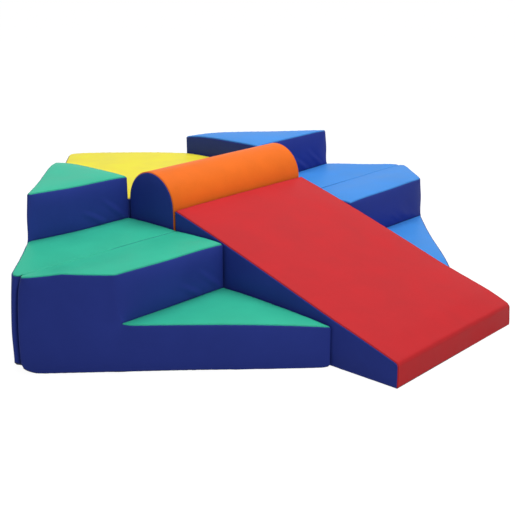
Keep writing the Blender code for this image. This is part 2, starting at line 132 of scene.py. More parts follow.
# How the foam's corners give way: corner, level, pull outwards, away from the fold and up, and
# reach, both in mm. The level called mid is a share of the middle tread's height
MID_LEVEL = 0.4
STAIR_PULLS = {
    "green_front": (
        ("outer_fold", "floor", (-3, 4, 24), 60), ("far_tip", "floor", (0, 0, 14), 50),
        ("outer_fold", "near", (0, 0, 4), 350), ("outer_middle", "near", (0, 0, 9), 150),
        ("outer_fold", "near", (-10, 0, -1), 50), ("outer_step", "high", (3, 0, 10), 250),
        ("outer_step", "low", (-14, 6, 4), 50), ("far_tip", "far", (0, 0, -16), 500),
    ),
    "green_back": (
        ("outer_fold", "floor", (3, 3, 34), 100), ("outer_fold", "mid", (8, 9, 0), 500),
        ("outer_fold", "near", (-2, 0, 3), 350), ("outer_fold", "near", (-12, -4, -1), 50),
        ("far_tip", "floor", (0, 0, 8), 40), ("outer_step", "high", (0, 0, 13), 250),
        ("outer_step", "low", (6, 4, 4), 250), ("outer_step", "riser", (3, 2, 0), 120),
        ("far_tip", "far", (0, 0, -12), 180),
    ),
    "blue_front": (
        ("outer_fold", "floor", (0, 0, 20), 60), ("far_tip", "floor", (0, 0, 10), 40),
        ("outer_fold", "near", (0, 0, 4), 350), ("outer_step", "high", (5, 0, 8), 250),
        ("outer_step", "riser", (4, 3, 0), 120), ("outer_step", "low", (14, 12, 4), 500),
        ("far_tip", "far", (0, 0, -18), 180),
    ),
    "blue_back": (
        ("outer_fold", "floor", (0, 0, 26), 60), ("far_tip", "floor", (0, 0, 8), 40),
        ("outer_fold", "near", (0, 0, 3), 350), ("outer_step", "high", (14, -6, 4), 250),
        ("outer_step", "riser", (5, 0, 0), 120), ("outer_step", "low", (20, -3, 6), 250),
        ("far_tip", "far", (0, 0, -12), 180),
    ),
}
# The same at the slide's edges: right or left, share of the way from foot to top, pull and reach
SLIDE_PULLS = ((1, 0, (-3, 3, -4), 100), (1, 0.3, (0, 0, -10), 600), (-1, 0.3, (0, 0, -5), 500))
MM_IN_METRE = 1000

# Slanting folds of a riser: distance from its lower corner, height above its foot, run and climb
RISER_FOLDS = ((0.018, 0.008, 0.105, 0.080), (0.105, 0.008, 0.095, 0.055))

# The strip across a fold: its mesh, its valley, the rims that it tucks under and the width of the
# painted shade along its valley
WEB_HALF = 0.012
WEB_SPACING = 0.012
WEB_STEPS = 10
WEB_END = 1.25
WEB_TAPER = 0.4
WEB_THICKNESS = 0.0006
WEB_LIFT = 0.0005
WEB_DIP = 0.0048
WEB_DIP_WIDTH = 0.22
WEB_DIP_FADE = 0.6
WEB_TUCK = 0.0014
WEB_TUCK_POWER = 6
WEB_SHADE_WIDTH = 0.15

# Mesh of a cover: spacing of its cloth and of its first line beside a seam, how it is smoothed
# and blown up, how far its seams' lift is spread, and the least steps round the arch
CLOTH_SPACING = 0.018
SEAM_SPACING = 0.009
SMOOTH_LEVELS = 2
MERGE = 0.00002
ON_LINE = 0.0005
FRAMES = 20
CLOTH_QUALITY = 4
PRESSURE = 4.0
SPREAD_ROUNDS = 300
ARCH_TURNS = 8

# Profile across a seam: its groove and the rims beside it, in shares of its depth and reach
GROOVE, GROOVE_TIGHTNESS = 1.35, 1.8
RIM, RIM_PLACE, RIM_TIGHTNESS = 0.35, 1.2, 1.6

# Profile of a slanting fold: the valleys beside it, and where along its length it starts to rise
FOLD_VALLEY = 1.4
FOLD_START = 0.15
# How high a stitch's middle lies over the vinyl, in threads
STITCH_RISE = 0.3

# The base panel of each block, by the first words of the names of what is sewn on it
SIDE_BASES = {
    **{block: block + "_base" for block in ("slide", "arch", "platform", "green_front",
                                            "green_back", "blue_front", "blue_back")},
    "green": "green_front_base", "blue": "blue_front_base",
}

# Zips and fastening strips: their margins, round corners and edges
ZIP_SPLIT = 0.0006
ZIP_CORNER = 0.002
ZIP_EDGE = 0.0001
ZIP_RIB = 0.0012
ZIP_TOOTH_WIDTH = 0.0026
ZIP_HEM = 0.003
STRIP_CORNER = 0.004
STRIP_EDGE = 0.0004
STRIP_MARGIN = 0.005
STRIP_HEM = 0.0025
CORNER_TURNS = 4
EDGE_STEPS = 2

# Levels and heights of a zip's parts as shares of its depth, its rib's edges and its teeth's rows
ZIP_TAPE = 0.4
ZIP_RIB_LOW, ZIP_RIB_HIGH = 0.2, 0.8
ZIP_RIB_CORNER, ZIP_RIB_EDGE = 0.3, 0.2
TOOTH_HEIGHT, TOOTH_LEVEL, TOOTH_APART = 0.6, 0.7, 0.75

# A strip's backing as a share of its depth, and the length and width of its hooks or loops in
# pitches, their height and level over the backing, and the most that one is turned
BACKING = 0.55
PILE = {"hook": (0.36, 0.36, 1.6, 0.2, 0.0), "loop": (1.1, 0.5, 1.2, 0.3, math.tau)}
PILE_SEED = 7

# A slider in shares of its length, width and depth: outline, plates, neck and the bars of its tab
SHIELD = ((0.0, 0.28), (0.12, 0.18), (0.55, 0.02), (0.85, 0.0), (0.95, 0.16), (1.0, 0.40))
PLATES = ((0, 0.22), (0.45, 0.68))
NECK, NECK_CORNER, NECK_LOW = (0.68, 0.4, 0.22, 0.2), 0.06, 0.1
TAB_BARS = ((0.05, 0.22, 0.75, 0.16), (0.05, 0.62, 0.75, 0.16),
            (0.05, 0.22, 0.14, 0.56), (0.66, 0.22, 0.14, 0.56))
TAB_CORNER, TAB_LOW, TAB_HIGH = 0.07, 0.72, 0.94
SLIDER_EDGE = 0.06

# The photograph's frame and its camera, worked out from straight edges of the blocks
PHOTO_PIXELS = 515
FOCAL_PIXELS = 964.6
SENSOR_WIDTH = 36.0
CAMERA_PLACE = (-2.2611, -2.1653, 1.1293)
CAMERA_PITCH = 18.20
CAMERA_HEADING = 47.64
CAMERA_ROLL = -0.28

# Stage: an even surround gives 0.31 of a surface's colour, and the two lamps most of the rest
SURROUND = 0.31
OVERHEAD_PLACE = (0.5, -0.3, 3.2)
OVERHEAD_WIDTH = 3.0
OVERHEAD_POWER = 64.0
FRONT_PLACE = (-1.7, -3.3, 1.5)
FRONT_WIDTH = 2.5
FRONT_POWER = 30.0
LAMP_TARGET = (0, 0, 0.2)
FLOOR_WIDTH = 40.0
FLOOR_CLEARANCE = 0.0005
FLOOR_GLOW = 0.94
FLOOR_SHADE = 0.2
FLOOR_BOUNCE = 0.42


def linear(hex_colour):
    """Turn an sRGB hex colour into linear RGB."""
    values = [int(hex_colour[i:i + 2], 16) / 255 for i in (0, 2, 4)]
    return [v / 12.92 if v <= 0.04045 else ((v + 0.055) / 1.055) ** 2.4 for v in values]


def colour_property(label, description, hex_colour):
    """Return a colour property whose default is an sRGB hex colour."""
    return FloatVectorProperty(name=label, description=description, subtype="COLOR", size=3,
                               min=0, max=1, default=linear(hex_colour))


def length_property(label, description, default):
    """Return a length property in metres."""
    return FloatProperty(name=label, description=description, default=default, min=0,
                         unit="LENGTH", precision=5)


class ClimberColours(bpy.types.PropertyGroup):
    """Colours of the covers and of what is sewn on them."""

    navy: colour_property("Navy", "Vinyl of every side", "304097")
    red: colour_property("Red", "Vinyl of the slide", "d02f34")
    orange: colour_property("Orange", "Vinyl of the arch", "fc7a28")
    yellow: colour_property("Yellow", "Vinyl of the platform's top", "fff244")
    green: colour_property("Green", "Vinyl of the left staircase's treads", "3cc6a3")
    blue: colour_property("Blue", "Vinyl of the right staircase's treads", "4898ee")
    base: colour_property("Base", "Non-slip fabric under each block", "23262e")
    tape: colour_property("Tape", "Woven tape of zips and fastening strips", "191b21")
    metal: colour_property("Metal", "Plated zip sliders", "9a9da1")


class ClimberSizes(bpy.types.PropertyGroup):
    """Sizes of the soft shape and of the sewing."""

    swell: length_property("Swell", "How far a side stands off its flat panel", 0.007)
    crown: length_property("Crown", "The same, of a tread or top", 0.006)
    hidden_swell: length_property("Hidden swell", "The same, where blocks meet", 0.0002)
    edge_lift: length_property("Edge lift", "Rise of a top seam at its middle", 0.003)
    corner_droop: length_property("Corner droop", "Fall of a top seam at its corners", 0.002)
    seam_depth: length_property("Seam depth", "Depth of the groove that a seam pulls in", 0.0012)
    seam_reach: length_property("Seam reach", "Half of the groove's width", 0.003)
    pucker: length_property("Pucker", "Height of the small folds that a seam gathers", 0.0006)
    pucker_size: length_property("Pucker size", "Width of a small fold", 0.022)
    pucker_reach: length_property("Pucker reach", "How far the small folds run from a seam", 0.022)
    fold_height: length_property("Fold height", "Height of the risers' slanting folds", 0.0048)
    fold_width: length_property("Fold width", "Half width of such a fold", 0.013)
    stitch_pitch: length_property("Stitch pitch", "Distance from stitch to stitch", 0.005)
    stitch_length: length_property("Stitch length", "Length of a stitch's visible thread", 0.0038)
    thread: length_property("Thread", "Thickness of the thread", 0.0007)
    stitch_inset: length_property("Stitch inset", "Distance of the stitches from the seam", 0.0045)
    tooth_pitch: length_property("Tooth pitch", "Distance from one zip tooth to the next", 0.0015)
    pile_pitch: length_property("Pile pitch", "Distance between hooks or loops", 0.0025)
    ripple: length_property("Ripple", "Height of the broad unevenness of the foam", 0.0008)
    ripple_size: length_property("Ripple size", "Width of that unevenness", 0.16)


def sizes():
    """Return the size settings of this scene."""
    return bpy.context.scene.climber_sizes


def colours():
    """Return the colour settings of this scene."""
    return bpy.context.scene.climber_colours


def add_node(tree, kind, settings=None, links=None):
    """Add a node, set its sockets and attributes, and link its inputs by name or number."""
    node = tree.nodes.new(kind)
    for key, value in (settings or {}).items():
        if isinstance(key, int) or key in node.inputs:
            node.inputs[key].default_value = value
        else:
            setattr(node, key, value)
    for key, source in (links or {}).items():
        tree.links.new(source, node.inputs[key])
    return node


def new_material(name):
    """Return a material with its node tree, shader and object coordinates."""
    material = bpy.data.materials.new(name)
    material.use_nodes = True
    tree = material.node_tree
    place = add_node(tree, "ShaderNodeTexCoord").outputs["Object"]
    return material, tree, tree.nodes["Principled BSDF"], place


def tinted(tree, shader, colour, factor):
    """Give a shader its colour times a factor."""
    tint = add_node(tree, "ShaderNodeVectorMath", {"operation": "SCALE", 0: colour},
                    {"Scale": factor})
    tree.links.new(tint.outputs["Vector"], shader.inputs["Base Color"])


def embossed(tree, shader, relief, strength, depth):
    """Give a shader a relief."""
    bump = add_node(tree, "ShaderNodeBump", {"Strength": strength, "Distance": depth},
                    {"Height": relief})
    tree.links.new(bump.outputs["Normal"], shader.inputs["Normal"])


def patterned(name, colour, kind, settings, tints, roughness, relief=None):
    """Return a material with one texture, which gives its range of tints and perhaps its relief."""
    material, tree, shader, place = new_material(name)
    pattern = add_node(tree, kind, settings, {"Vector": place}).outputs["Fac"]
    shade = add_node(tree, "ShaderNodeMapRange", {"To Min": tints[0], "To Max": tints[1]},
                     {"Value": pattern})
    tinted(tree, shader, colour, shade.outputs["Result"])
    if relief:
        embossed(tree, shader, pattern, *relief)
    shader.inputs["Roughness"].default_value = roughness
    return material


# The grain pressed into such vinyl is about 1 mm wide, drawn at 1.6 mm so that it shows
GRAIN_SIZE = 0.0016
MOTTLE_SIZE = 0.12


def coated_vinyl(name, colour):
    """PVC-coated polyester, pressed with a fine leather grain.

    To the eye it is an even strong colour with a soft satin highlight, and a little duller
    where hands and feet rub. Painted shade darkens its colour down in its seams.
    """
    material, tree, shader, place = new_material(name)
    mottle = add_node(tree, "ShaderNodeTexNoise",
                      {"Scale": 1 / MOTTLE_SIZE, "Detail": 4.0, "Roughness": 0.55},
                      {"Vector": place})
    shade = add_node(tree, "ShaderNodeMapRange",
                     {"From Min": 0.3, "From Max": 0.7, "To Min": 0.95, "To Max": 1.05},
                     {"Value": mottle.outputs["Fac"]})
    # Painted shade: the colour is darkened to 0.72 of itself next to a seam, standing for the shade
    # in its groove
    seam = add_node(tree, "ShaderNodeAttribute", {"attribute_name": "seam_nearness"})
    painted_seam_shade = add_node(tree, "ShaderNodeMapRange", {"To Min": 1.0, "To Max": 0.72},
                     {"Value": seam.outputs["Fac"]})
    both = add_node(tree, "ShaderNodeMath", {"operation": "MULTIPLY"},
                    {0: shade.outputs["Result"], 1: painted_seam_shade.outputs["Result"]})
    tinted(tree, shader, colour, both.outputs["Value"])
    rub = add_node(tree, "ShaderNodeMapRange",
                   {"From Min": 0.3, "From Max": 0.7, "To Min": 0.42, "To Max": 0.52},
                   {"Value": mottle.outputs["Fac"]})
    tree.links.new(rub.outputs["Result"], shader.inputs["Roughness"])
    grain = add_node(tree, "ShaderNodeTexVoronoi", {"Scale": 1 / GRAIN_SIZE}, {"Vector": place})
    fine = add_node(tree, "ShaderNodeTexNoise", {"Scale": 2 / GRAIN_SIZE, "Detail": 3.0},
                    {"Vector": place})
    relief = add_node(tree, "ShaderNodeMath", {"operation": "ADD"},
                      {0: grain.outputs["Distance"], 1: fine.outputs["Fac"]})
    embossed(tree, shader, relief.outputs["Value"], 0.2, 0.0003)
    shader.inputs["Specular IOR Level"].default_value = 0.06
    return material


# Rubber dots 4 mm wide on a 7 mm grid: their radius and soft rim as shares of the pitch
DOT_PITCH = 0.007
DOT_SHARE = 0.3
DOT_RIM = 0.06


def dotted_base(name, colour):
    """Woven base fabric with a grid of rubber dots, dull and dark with a slight relief."""
    material, tree, shader, place = new_material(name)
    grid = add_node(tree, "ShaderNodeTexVoronoi", {"Scale": 1 / DOT_PITCH, "Randomness": 0.0},
                    {"Vector": place})
    dots = add_node(tree, "ShaderNodeMapRange",
                    {"From Min": DOT_SHARE - DOT_RIM, "From Max": DOT_SHARE, "To Min": 1.6,
                     "To Max": 1.0}, {"Value": grid.outputs["Distance"]})
    tinted(tree, shader, colour, dots.outputs["Result"])
    weave = add_node(tree, "ShaderNodeTexNoise", {"Scale": 900.0, "Detail": 2.0}, {"Vector": place})
    height = add_node(tree, "ShaderNodeMath", {"operation": "ADD"},
                      {0: dots.outputs["Result"], 1: weave.outputs["Fac"]})
    embossed(tree, shader, height.outputs["Value"], 0.5, 0.0006)
    shader.inputs["Roughness"].default_value = 0.75
    return material


# Ribs of a nylon tape, drawn at 1.2 mm so that they show, and the wave texture's own bands
TAPE_RIB = 0.0012
BANDS = 20


def woven_tape(name, colour):
    """Woven nylon tape: matt, with the fine diagonal ribs of its weave."""
    wave = {"bands_direction": "DIAGONAL", "Scale": 1 / TAPE_RIB / BANDS, "Distortion": 1.0}
    return patterned(name, colour, "ShaderNodeTexWave", wave, (0.75, 1.25), 0.85, (0.5, 0.0003))


# One twist of the thread is about 1 mm long
THREAD_TWIST = 0.001


def twisted_thread(name, colour):
    """Bonded polyester sewing thread: a shade deeper than the vinyl, with a fine twist."""
    wave = {"bands_direction": "DIAGONAL", "Scale": 1 / THREAD_TWIST / BANDS}
    return patterned(name, colour, "ShaderNodeTexWave", wave, (0.7, 0.95), 0.6)


def moulded_teeth(name, colour):
    """Acetal zip teeth, moulded: dark, smooth and slightly waxy."""
    return patterned(name, colour, "ShaderNodeTexNoise", {"Scale": 400.0, "Detail": 3.0},
                     (1.0, 1.8), 0.38)


def plated_zinc(name, colour):
    """Die-cast zinc with dull nickel plating: grey metal with fine scuffs."""
    material, tree, shader, place = new_material(name)
    scuff = add_node(tree, "ShaderNodeTexNoise", {"Scale": 900.0, "Detail": 4.0}, {"Vector": place})
    rough = add_node(tree, "ShaderNodeMapRange", {"To Min": 0.25, "To Max": 0.5},
                     {"Value": scuff.outputs["Fac"]})
    tree.links.new(rough.outputs["Result"], shader.inputs["Roughness"])
    embossed(tree, shader, scuff.outputs["Fac"], 0.15, 0.0001)
    shader.inputs["Base Color"].default_value = (*colour, 1)
    shader.inputs["Metallic"].default_value = 1.0
    return material


def made_once(name, maker, colour_name):
    """Return a material that is made once, in one of the climber's colours, and then shared."""
    return bpy.data.materials.get(name) or maker(name, tuple(getattr(colours(), colour_name)))


def vinyl(colour_name):
    """Return the vinyl of one colour."""
    return made_once("pvc_coated_fabric_" + colour_name, coated_vinyl, colour_name)


def thread(colour_name):
    """Return the thread that matches the vinyl of one colour."""
    return made_once("polyester_thread_" + colour_name, twisted_thread, colour_name)


def base_fabric():
    """Return the fabric of the undersides."""
    return made_once("dotted_non_slip_fabric", dotted_base, "base")


def added(name, data):
    """Return a new object of some data, put in the scene."""
    piece = bpy.data.objects.new(name, data)
    bpy.context.scene.collection.objects.link(piece)
    return piece


class Cover:
    """A closed cover gathered from grids of points, with how it is to be softened."""

    def __init__(self, body, panels, nodes):
        """Start a cover of the given colours and swells, with a flat base, for some solids."""
        self.body = body
        self.nodes = nodes
        self.finishes = {name: vinyl(colour) for name, (colour, _) in panels.items()}
        self.finishes["base"] = base_fabric()
        self.swells = {name: swell for name, (_, swell) in panels.items()}
        self.swells["base"] = 0.0
        self.points, self.lookup, self.faces, self.panels = [], {}, [], []
        self.lifts, self.roundings, self.pulls, self.folds = [], [], [], []
        self.shown, self.stitched, self.creased = {}, {}, []

    def pull(self, point, pull, reach):
        """Pull the cover's points near one point, by so many millimetres."""
        self.pulls.append((point, [value / MM_IN_METRE for value in pull], reach / MM_IN_METRE))

    def vertex(self, point):
        """Return the index of a point, shared with the same point of another panel."""
        key = tuple(round(value / MERGE) for value in point)
        if key not in self.lookup:
            self.lookup[key] = len(self.points)
            self.points.append(tuple(point))
        return self.lookup[key]

    def face(self, points, panel):
        """Add one face, unless its corners fall together."""
        corners = []
        for index in (self.vertex(point) for point in points):
            if index not in corners:
                corners.append(index)
        if len(corners) > 2:
            self.faces.append(corners)
            self.panels.append(list(self.finishes).index(panel))

    def grid(self, rows, panel):
        """Add the faces of a grid of points given as rows of equal length."""
        for low, high in zip(rows, rows[1:]):
            for index in range(len(low) - 1):
                self.face((low[index], low[index + 1], high[index + 1], high[index]), panel)

    def cut_grid(self, columns, rows, level, place, panel, first=0, last=None):
        """Add the faces of a level grid that is cut off along its diagonal."""
        for j in range(first, len(rows) - 1 if last is None else last):
            for i in range(j, len(columns) - 1):
                corners = [(columns[i], rows[j], level), (columns[i + 1], rows[j], level),
                           (columns[i + 1], rows[j + 1], level), (columns[i], rows[j + 1], level)]
                self.face([place(corner) for corner in corners[:3 if i == j else 4]], panel)

    def build(self, name):
        """Return the cover as an object whose material slots are its panels."""
        mesh = bpy.data.meshes.new(name)
        mesh.from_pydata(self.points, [], self.faces)
        for finish in self.finishes.values():
            mesh.materials.append(finish)
        mesh.polygons.foreach_set("material_index", self.panels)
        shape = bmesh.new()
        shape.from_mesh(mesh)
        bmesh.ops.recalc_face_normals(shape, faces=shape.faces)
        shape.to_mesh(mesh)
        shape.free()
        return added(name, mesh)


def cloth_spacing():
    """Return the spacing of a cover's mesh."""
    return CLOTH_SPACING


def spaced(length, count=None):
    """Return distances from 0 to a length, with a close line beside each end."""
    middle = length - 2 * SEAM_SPACING
    count = count or max(1, round(middle / cloth_spacing()))
    return [0] + [SEAM_SPACING + middle * step / count for step in range(count + 1)] + [length]


def joined(first, second):
    """Return the lines of one length followed by those of the next."""
    return first + [first[-1] + value for value in second[1:]]


def upright(plan, heights, place):
    """Return rows of points of a wall that stands on a line of the plan."""
    return [[place((x, y, z)) for x, y in plan] for z in heights]


def vectors(items, value):
    """Return one vector of each of a mesh's items as the rows of an array."""
    values = np.empty(len(items) * 3)
    items.foreach_get(value, values)
    return values.reshape(-1, 3)


def coordinates(mesh):
    """Return the points of a mesh as an array."""
    return vectors(mesh.vertices, "co")


def put_back(mesh, points):
    """Write an array of points back to its mesh."""
    mesh.vertices.foreach_set("co", points.ravel())
    mesh.update()


def normals(mesh):
    """Return the directions that a mesh's points face."""
    return vectors(mesh.vertex_normals, "vector")


def surface_of(mesh):
    """Return a mesh's faces as a tree to be searched."""
    return bvhtree.BVHTree.FromPolygons([vertex.co for vertex in mesh.vertices],
                                        [face.vertices for face in mesh.polygons])


def panel_of_faces(mesh):
    """Return the panel number of each face of a mesh."""
    panels = np.empty(len(mesh.polygons), dtype=np.int32)
    mesh.polygons.foreach_get("material_index", panels)
    return panels


def mark_seams(mesh, distance, reach):
    """Write down how near each point of a mesh is to a seam, for the painted shade that darkens the
    vinyl's colour there.
    """
    nearness = mesh.attributes.new("seam_nearness", "FLOAT", "POINT")
    nearness.data.foreach_set("value", np.exp(-(distance / reach) ** 2))


def edge_panels(mesh):
    """Return the edges of a mesh and the lowest and highest panel number beside each."""
    count = len(mesh.edges)
    edges = np.empty(count * 2, dtype=np.int32)
    mesh.edges.foreach_get("vertices", edges)
    loop_edges = np.empty(len(mesh.loops), dtype=np.int32)
    mesh.loops.foreach_get("edge_index", loop_edges)
    totals = np.empty(len(mesh.polygons), dtype=np.int32)
    mesh.polygons.foreach_get("loop_total", totals)
    beside = np.repeat(panel_of_faces(mesh), totals)
    low = np.full(count, len(mesh.materials), dtype=np.int32)
    high = np.full(count, -1, dtype=np.int32)
    np.minimum.at(low, loop_edges, beside)
    np.maximum.at(high, loop_edges, beside)
    return edges.reshape(-1, 2), low, high


def panel_of_points(mesh):
    """Return one panel number for each point of a mesh."""
    panel = np.zeros(len(mesh.vertices), dtype=np.int32)
    for face in mesh.polygons:
        panel[list(face.vertices)] = face.material_index
    return panel


def neighbour_means(values, edges):
    """Return the mean of each point's neighbours."""
    count = len(values)
    first, second = edges[:, 0], edges[:, 1]
    degree = np.bincount(first, minlength=count) + np.bincount(second, minlength=count)
    total = np.bincount(first, values[second], count) + np.bincount(second, values[first], count)
    return total / degree


def spread(values, free, edges, source=0.0):
    """Carry values from the held points to the free ones, with an even rise where one is given."""
    for _ in range(SPREAD_ROUNDS):
        values[free] = neighbour_means(values, edges)[free] + source
    return values


def along_line(points, start, end):
    """Return each point's share along a line and its distance from the line."""
    start, end = np.array(start), np.array(end)
    way = end - start
    share = np.clip((points - start) @ way / (way @ way), 0, 1)
    return share, np.linalg.norm(points - start - share[:, None] * way, axis=1)


def lift_share(share):
    """Return 0 at the ends of a seam and 1 along its middle."""
    return 1 - (2 * share - 1) ** 4


def evaluated(piece):
    """Return an object as its modifiers make it."""
    return piece.evaluated_get(bpy.context.evaluated_depsgraph_get())


def inflate(piece, held):
    """Blow a cover up as cloth that is held at its seams, and return how far its points went."""
    start = coordinates(piece.data)
    group = piece.vertex_groups.new(name="sewn")
    group.add([int(index) for index in np.flatnonzero(held)], 1, "REPLACE")
    cloth = piece.modifiers.new("Inflate", "CLOTH")
    cloth.settings.quality = CLOTH_QUALITY
    cloth.settings.use_pressure = True
    cloth.settings.uniform_pressure_force = PRESSURE
    cloth.settings.vertex_group_mass = group.name
    cloth.settings.effector_weights.gravity = 0
    cloth.point_cache.frame_end = FRAMES
    for step in range(1, FRAMES + 1):
        bpy.context.scene.frame_set(step)
    moved = coordinates(evaluated(piece).data)
    piece.modifiers.remove(cloth)
    piece.vertex_groups.clear()
    bpy.context.scene.frame_set(1)
    return np.linalg.norm(moved - start, axis=1)


def rounding(points, corner, inward, wedge, radius):
    """Return how far points near a sharp edge go in along its bisector, to give it a radius.

    All are given in the plane across the edge. The wedge is half of the angle between its sides.
    """
    along = (points - corner) @ inward
    aside = np.abs((points - corner) @ np.array([inward[1], -inward[0]]))
    sharp = aside / math.tan(wedge)
    curved = radius / math.sin(wedge) - np.sqrt(np.maximum(radius ** 2 - aside ** 2, 0))
    shift = np.where(aside < radius * math.cos(wedge), curved - sharp, 0)
    return shift * np.clip(1 - (along - sharp) / (ROUNDING_DEPTH * radius), 0, 1)


def above(ledges):
    """Return a function that tells how clear each point stands above ledges given along y."""
    def share(points):
        top = np.zeros(len(points))
        for start, end, level in ledges:
            top[(points[:, 1] > start) & (points[:, 1] < end)] = level
        return np.clip((points[:, 2] - top) / CLEAR_RISE, 0, 1)
    return share


def soften(piece, cover):
    """Draw in the corners of a flat-sided cover, bow its seams and swell its panels."""
    size = sizes()
    mesh = piece.data
    points = coordinates(mesh)
    edges, low, high = edge_panels(mesh)
    panel = panel_of_points(mesh)
    names = list(cover.finishes)
    held = np.zeros(len(points), dtype=bool)
    held[edges[low != high].ravel()] = True
    held |= panel == names.index("base")

    raised = np.zeros(len(points))
    for start, end, lift, droop in cover.lifts:
        share, distance = along_line(points, start, end)
        on_seam = (distance < ON_LINE) & held
        raised[on_seam] = (lift_share(share) * (lift + droop) - droop)[on_seam]
    offset = np.zeros_like(points)
    offset[:, 2] = spread(raised, ~held, edges)
    for plane, corner, inward, wedge, radius, amount in cover.roundings:
        inward = np.array(inward) / np.linalg.norm(inward)
        shift = rounding(points[:, plane], np.array(corner), inward, wedge, radius)
        offset[:, plane] += (shift * amount(points[:, 2]))[:, None] * inward
    for point, pull, reach in cover.pulls:
        fade = np.clip(1 - np.linalg.norm(points - np.array(point), axis=1) / reach, 0, 1) ** 2
        offset += fade[:, None] * np.array(pull)
    points = points + offset
    put_back(mesh, points)

    facing = normals(mesh)
    swelling = inflate(piece, held)
    for index, name in enumerate(names):
        inside = (panel == index) & ~held
        if not inside.any() or swelling[inside].max() == 0:
            continue
        share = swelling[inside] / swelling[inside].max()
        rise = cover.swells[name] * (1 - (1 - share) ** 2)
        if cover.swells[name] > size.hidden_swell:
            rise += [size.ripple * noise.noise(Vector(point) / size.ripple_size)
                     for point in points[inside]]
        if name in cover.shown:
            rise *= cover.shown[name](points[inside])
        points[inside] += facing[inside] * rise[:, None]
    put_back(mesh, points)


def crease_edges(piece, cover):
    """Keep the edges between given pairs of panels crisp when the cover is smoothed."""
    mesh = piece.data
    names = list(cover.finishes)
    _, low, high = edge_panels(mesh)
    values = np.zeros(len(mesh.edges))
    for first, second, amount in cover.creased:
        pair = sorted((names.index(first), names.index(second)))
        values[(low == pair[0]) & (high == pair[1])] = amount
    crease = mesh.attributes.new("crease_edge", "FLOAT", "EDGE")
    crease.data.foreach_set("value", values)


def smooth(piece):
    """Round a cover by subdivision, and leave the result in its mesh."""
    modifier = piece.modifiers.new("Round", "SUBSURF")
    modifier.levels = modifier.render_levels = SMOOTH_LEVELS
    mesh = bpy.data.meshes.new_from_object(evaluated(piece))
    piece.modifiers.remove(modifier)
    old = piece.data
    piece.data = mesh
    bpy.data.meshes.remove(old)
    mesh.name = piece.name


def crosswise_wave(share):
    """Return the profile across a soft fold: a ridge with a shallow valley on each side."""
    return (1 - FOLD_VALLEY * share ** 2) * np.exp(-share ** 2)


def groove(share):
    """Return the profile across a seam: a groove with a low rim on each side."""
    return (GROOVE * np.exp(-(share * GROOVE_TIGHTNESS) ** 2)
            - RIM * np.exp(-((share - RIM_PLACE) * RIM_TIGHTNESS) ** 2))


def sew(piece, cover):
    """Pull a smoothed cover's seams in, gather small folds at them and lay its slanting folds."""
    size = sizes()
    mesh = piece.data
    points = coordinates(mesh)
    edges, low, high = edge_panels(mesh)
    panel = panel_of_points(mesh)
    names = list(cover.finishes)
    finishes = list(cover.finishes.values())
    worn = np.array([finishes.index(finish) for finish in finishes])
    on_seam = np.unique(edges[worn[low] != worn[high]].ravel())
    tree = kdtree.KDTree(len(on_seam))
    for index in on_seam:
        tree.insert(points[index], int(index))
    tree.balance()
    nearest = [tree.find(point) for point in points]
    distance = np.array([found[2] for found in nearest])
    gathers = np.array([noise.noise(found[0] / size.pucker_size) for found in nearest])
    rise = -size.seam_depth * groove(distance / size.seam_reach)
    loose = np.array([cover.swells[names[number]] > size.hidden_swell for number in panel])
    rise += loose * size.pucker * gathers * np.exp(-distance / size.pucker_reach)
    for name, start, end in cover.folds:
        share, aside = along_line(points, start, end)
        length_share = np.clip(FOLD_START + (1 - FOLD_START) * share, 0, 1)
        rise += ((panel == names.index(name)) * size.fold_height
                 * crosswise_wave(aside / size.fold_width) * np.sin(math.pi * length_share))
    moved = points + normals(mesh) * rise[:, None]
    moved[:, 2] = np.where(points[:, 2] < MERGE, points[:, 2], moved[:, 2])
    moved[:, 2] = np.maximum(moved[:, 2], 0)
    put_back(mesh, moved)
    # Nearness to the seams, by which the vinyl's colour gets painted shade along them
    mark_seams(mesh, distance, size.seam_reach)


def seam_rows(mesh, inside, outside, inset):
    """Return lines on a mesh that run beside its seams, on the panels inside them, as an object."""
    surface = surface_of(mesh)
    shape = bmesh.new()
    shape.from_mesh(mesh)
    inward, pairs = {}, []
    for edge in shape.edges:
        faces = list(edge.link_faces)
        kinds = [face.material_index for face in faces]
        if len(faces) != 2 or (kinds[0] in inside) == (kinds[1] in inside):
            continue
        face, other = faces if kinds[0] in inside else faces[::-1]
        if other.material_index not in outside:
            continue
        first, second = edge.verts
        way = (second.co - first.co).normalized()
        step = face.calc_center_median() - first.co
        step = (step - way * step.dot(way)).normalized()
        for vertex in edge.verts:
            inward[vertex.index] = inward.get(vertex.index, Vector()) + step
        pairs.append((first.index, second.index))
    shape.verts.ensure_lookup_table()
    places, order = [], {}
    for index, step in inward.items():
        spot, normal, _, _ = surface.find_nearest(shape.verts[index].co + step.normalized() * inset)
        order[index] = len(places)
        places.append(spot + normal * sizes().thread * STITCH_RISE)
    shape.free()
    lines = bpy.data.meshes.new("seam_lines")
    lines.from_pydata(places, [(order[first], order[second]) for first, second in pairs], [])
    return added("seam_lines", lines)


def new_tree(name, numbers, counts=()):
    """Start a Geometry Nodes tree with named inputs, and return it with what its inputs give."""
    tree = bpy.data.node_groups.new(name, "GeometryNodeTree")
    kinds = {"Geometry": ("Geometry",), "Float": numbers, "Int": counts, "Material": ("Material",)}
    for kind, labels in kinds.items():
        for label in labels:
            tree.interface.new_socket(label, in_out="INPUT", socket_type="NodeSocket" + kind)
    tree.interface.new_socket("Geometry", in_out="OUTPUT", socket_type="NodeSocketGeometry")
    return tree, add_node(tree, "NodeGroupInput").outputs


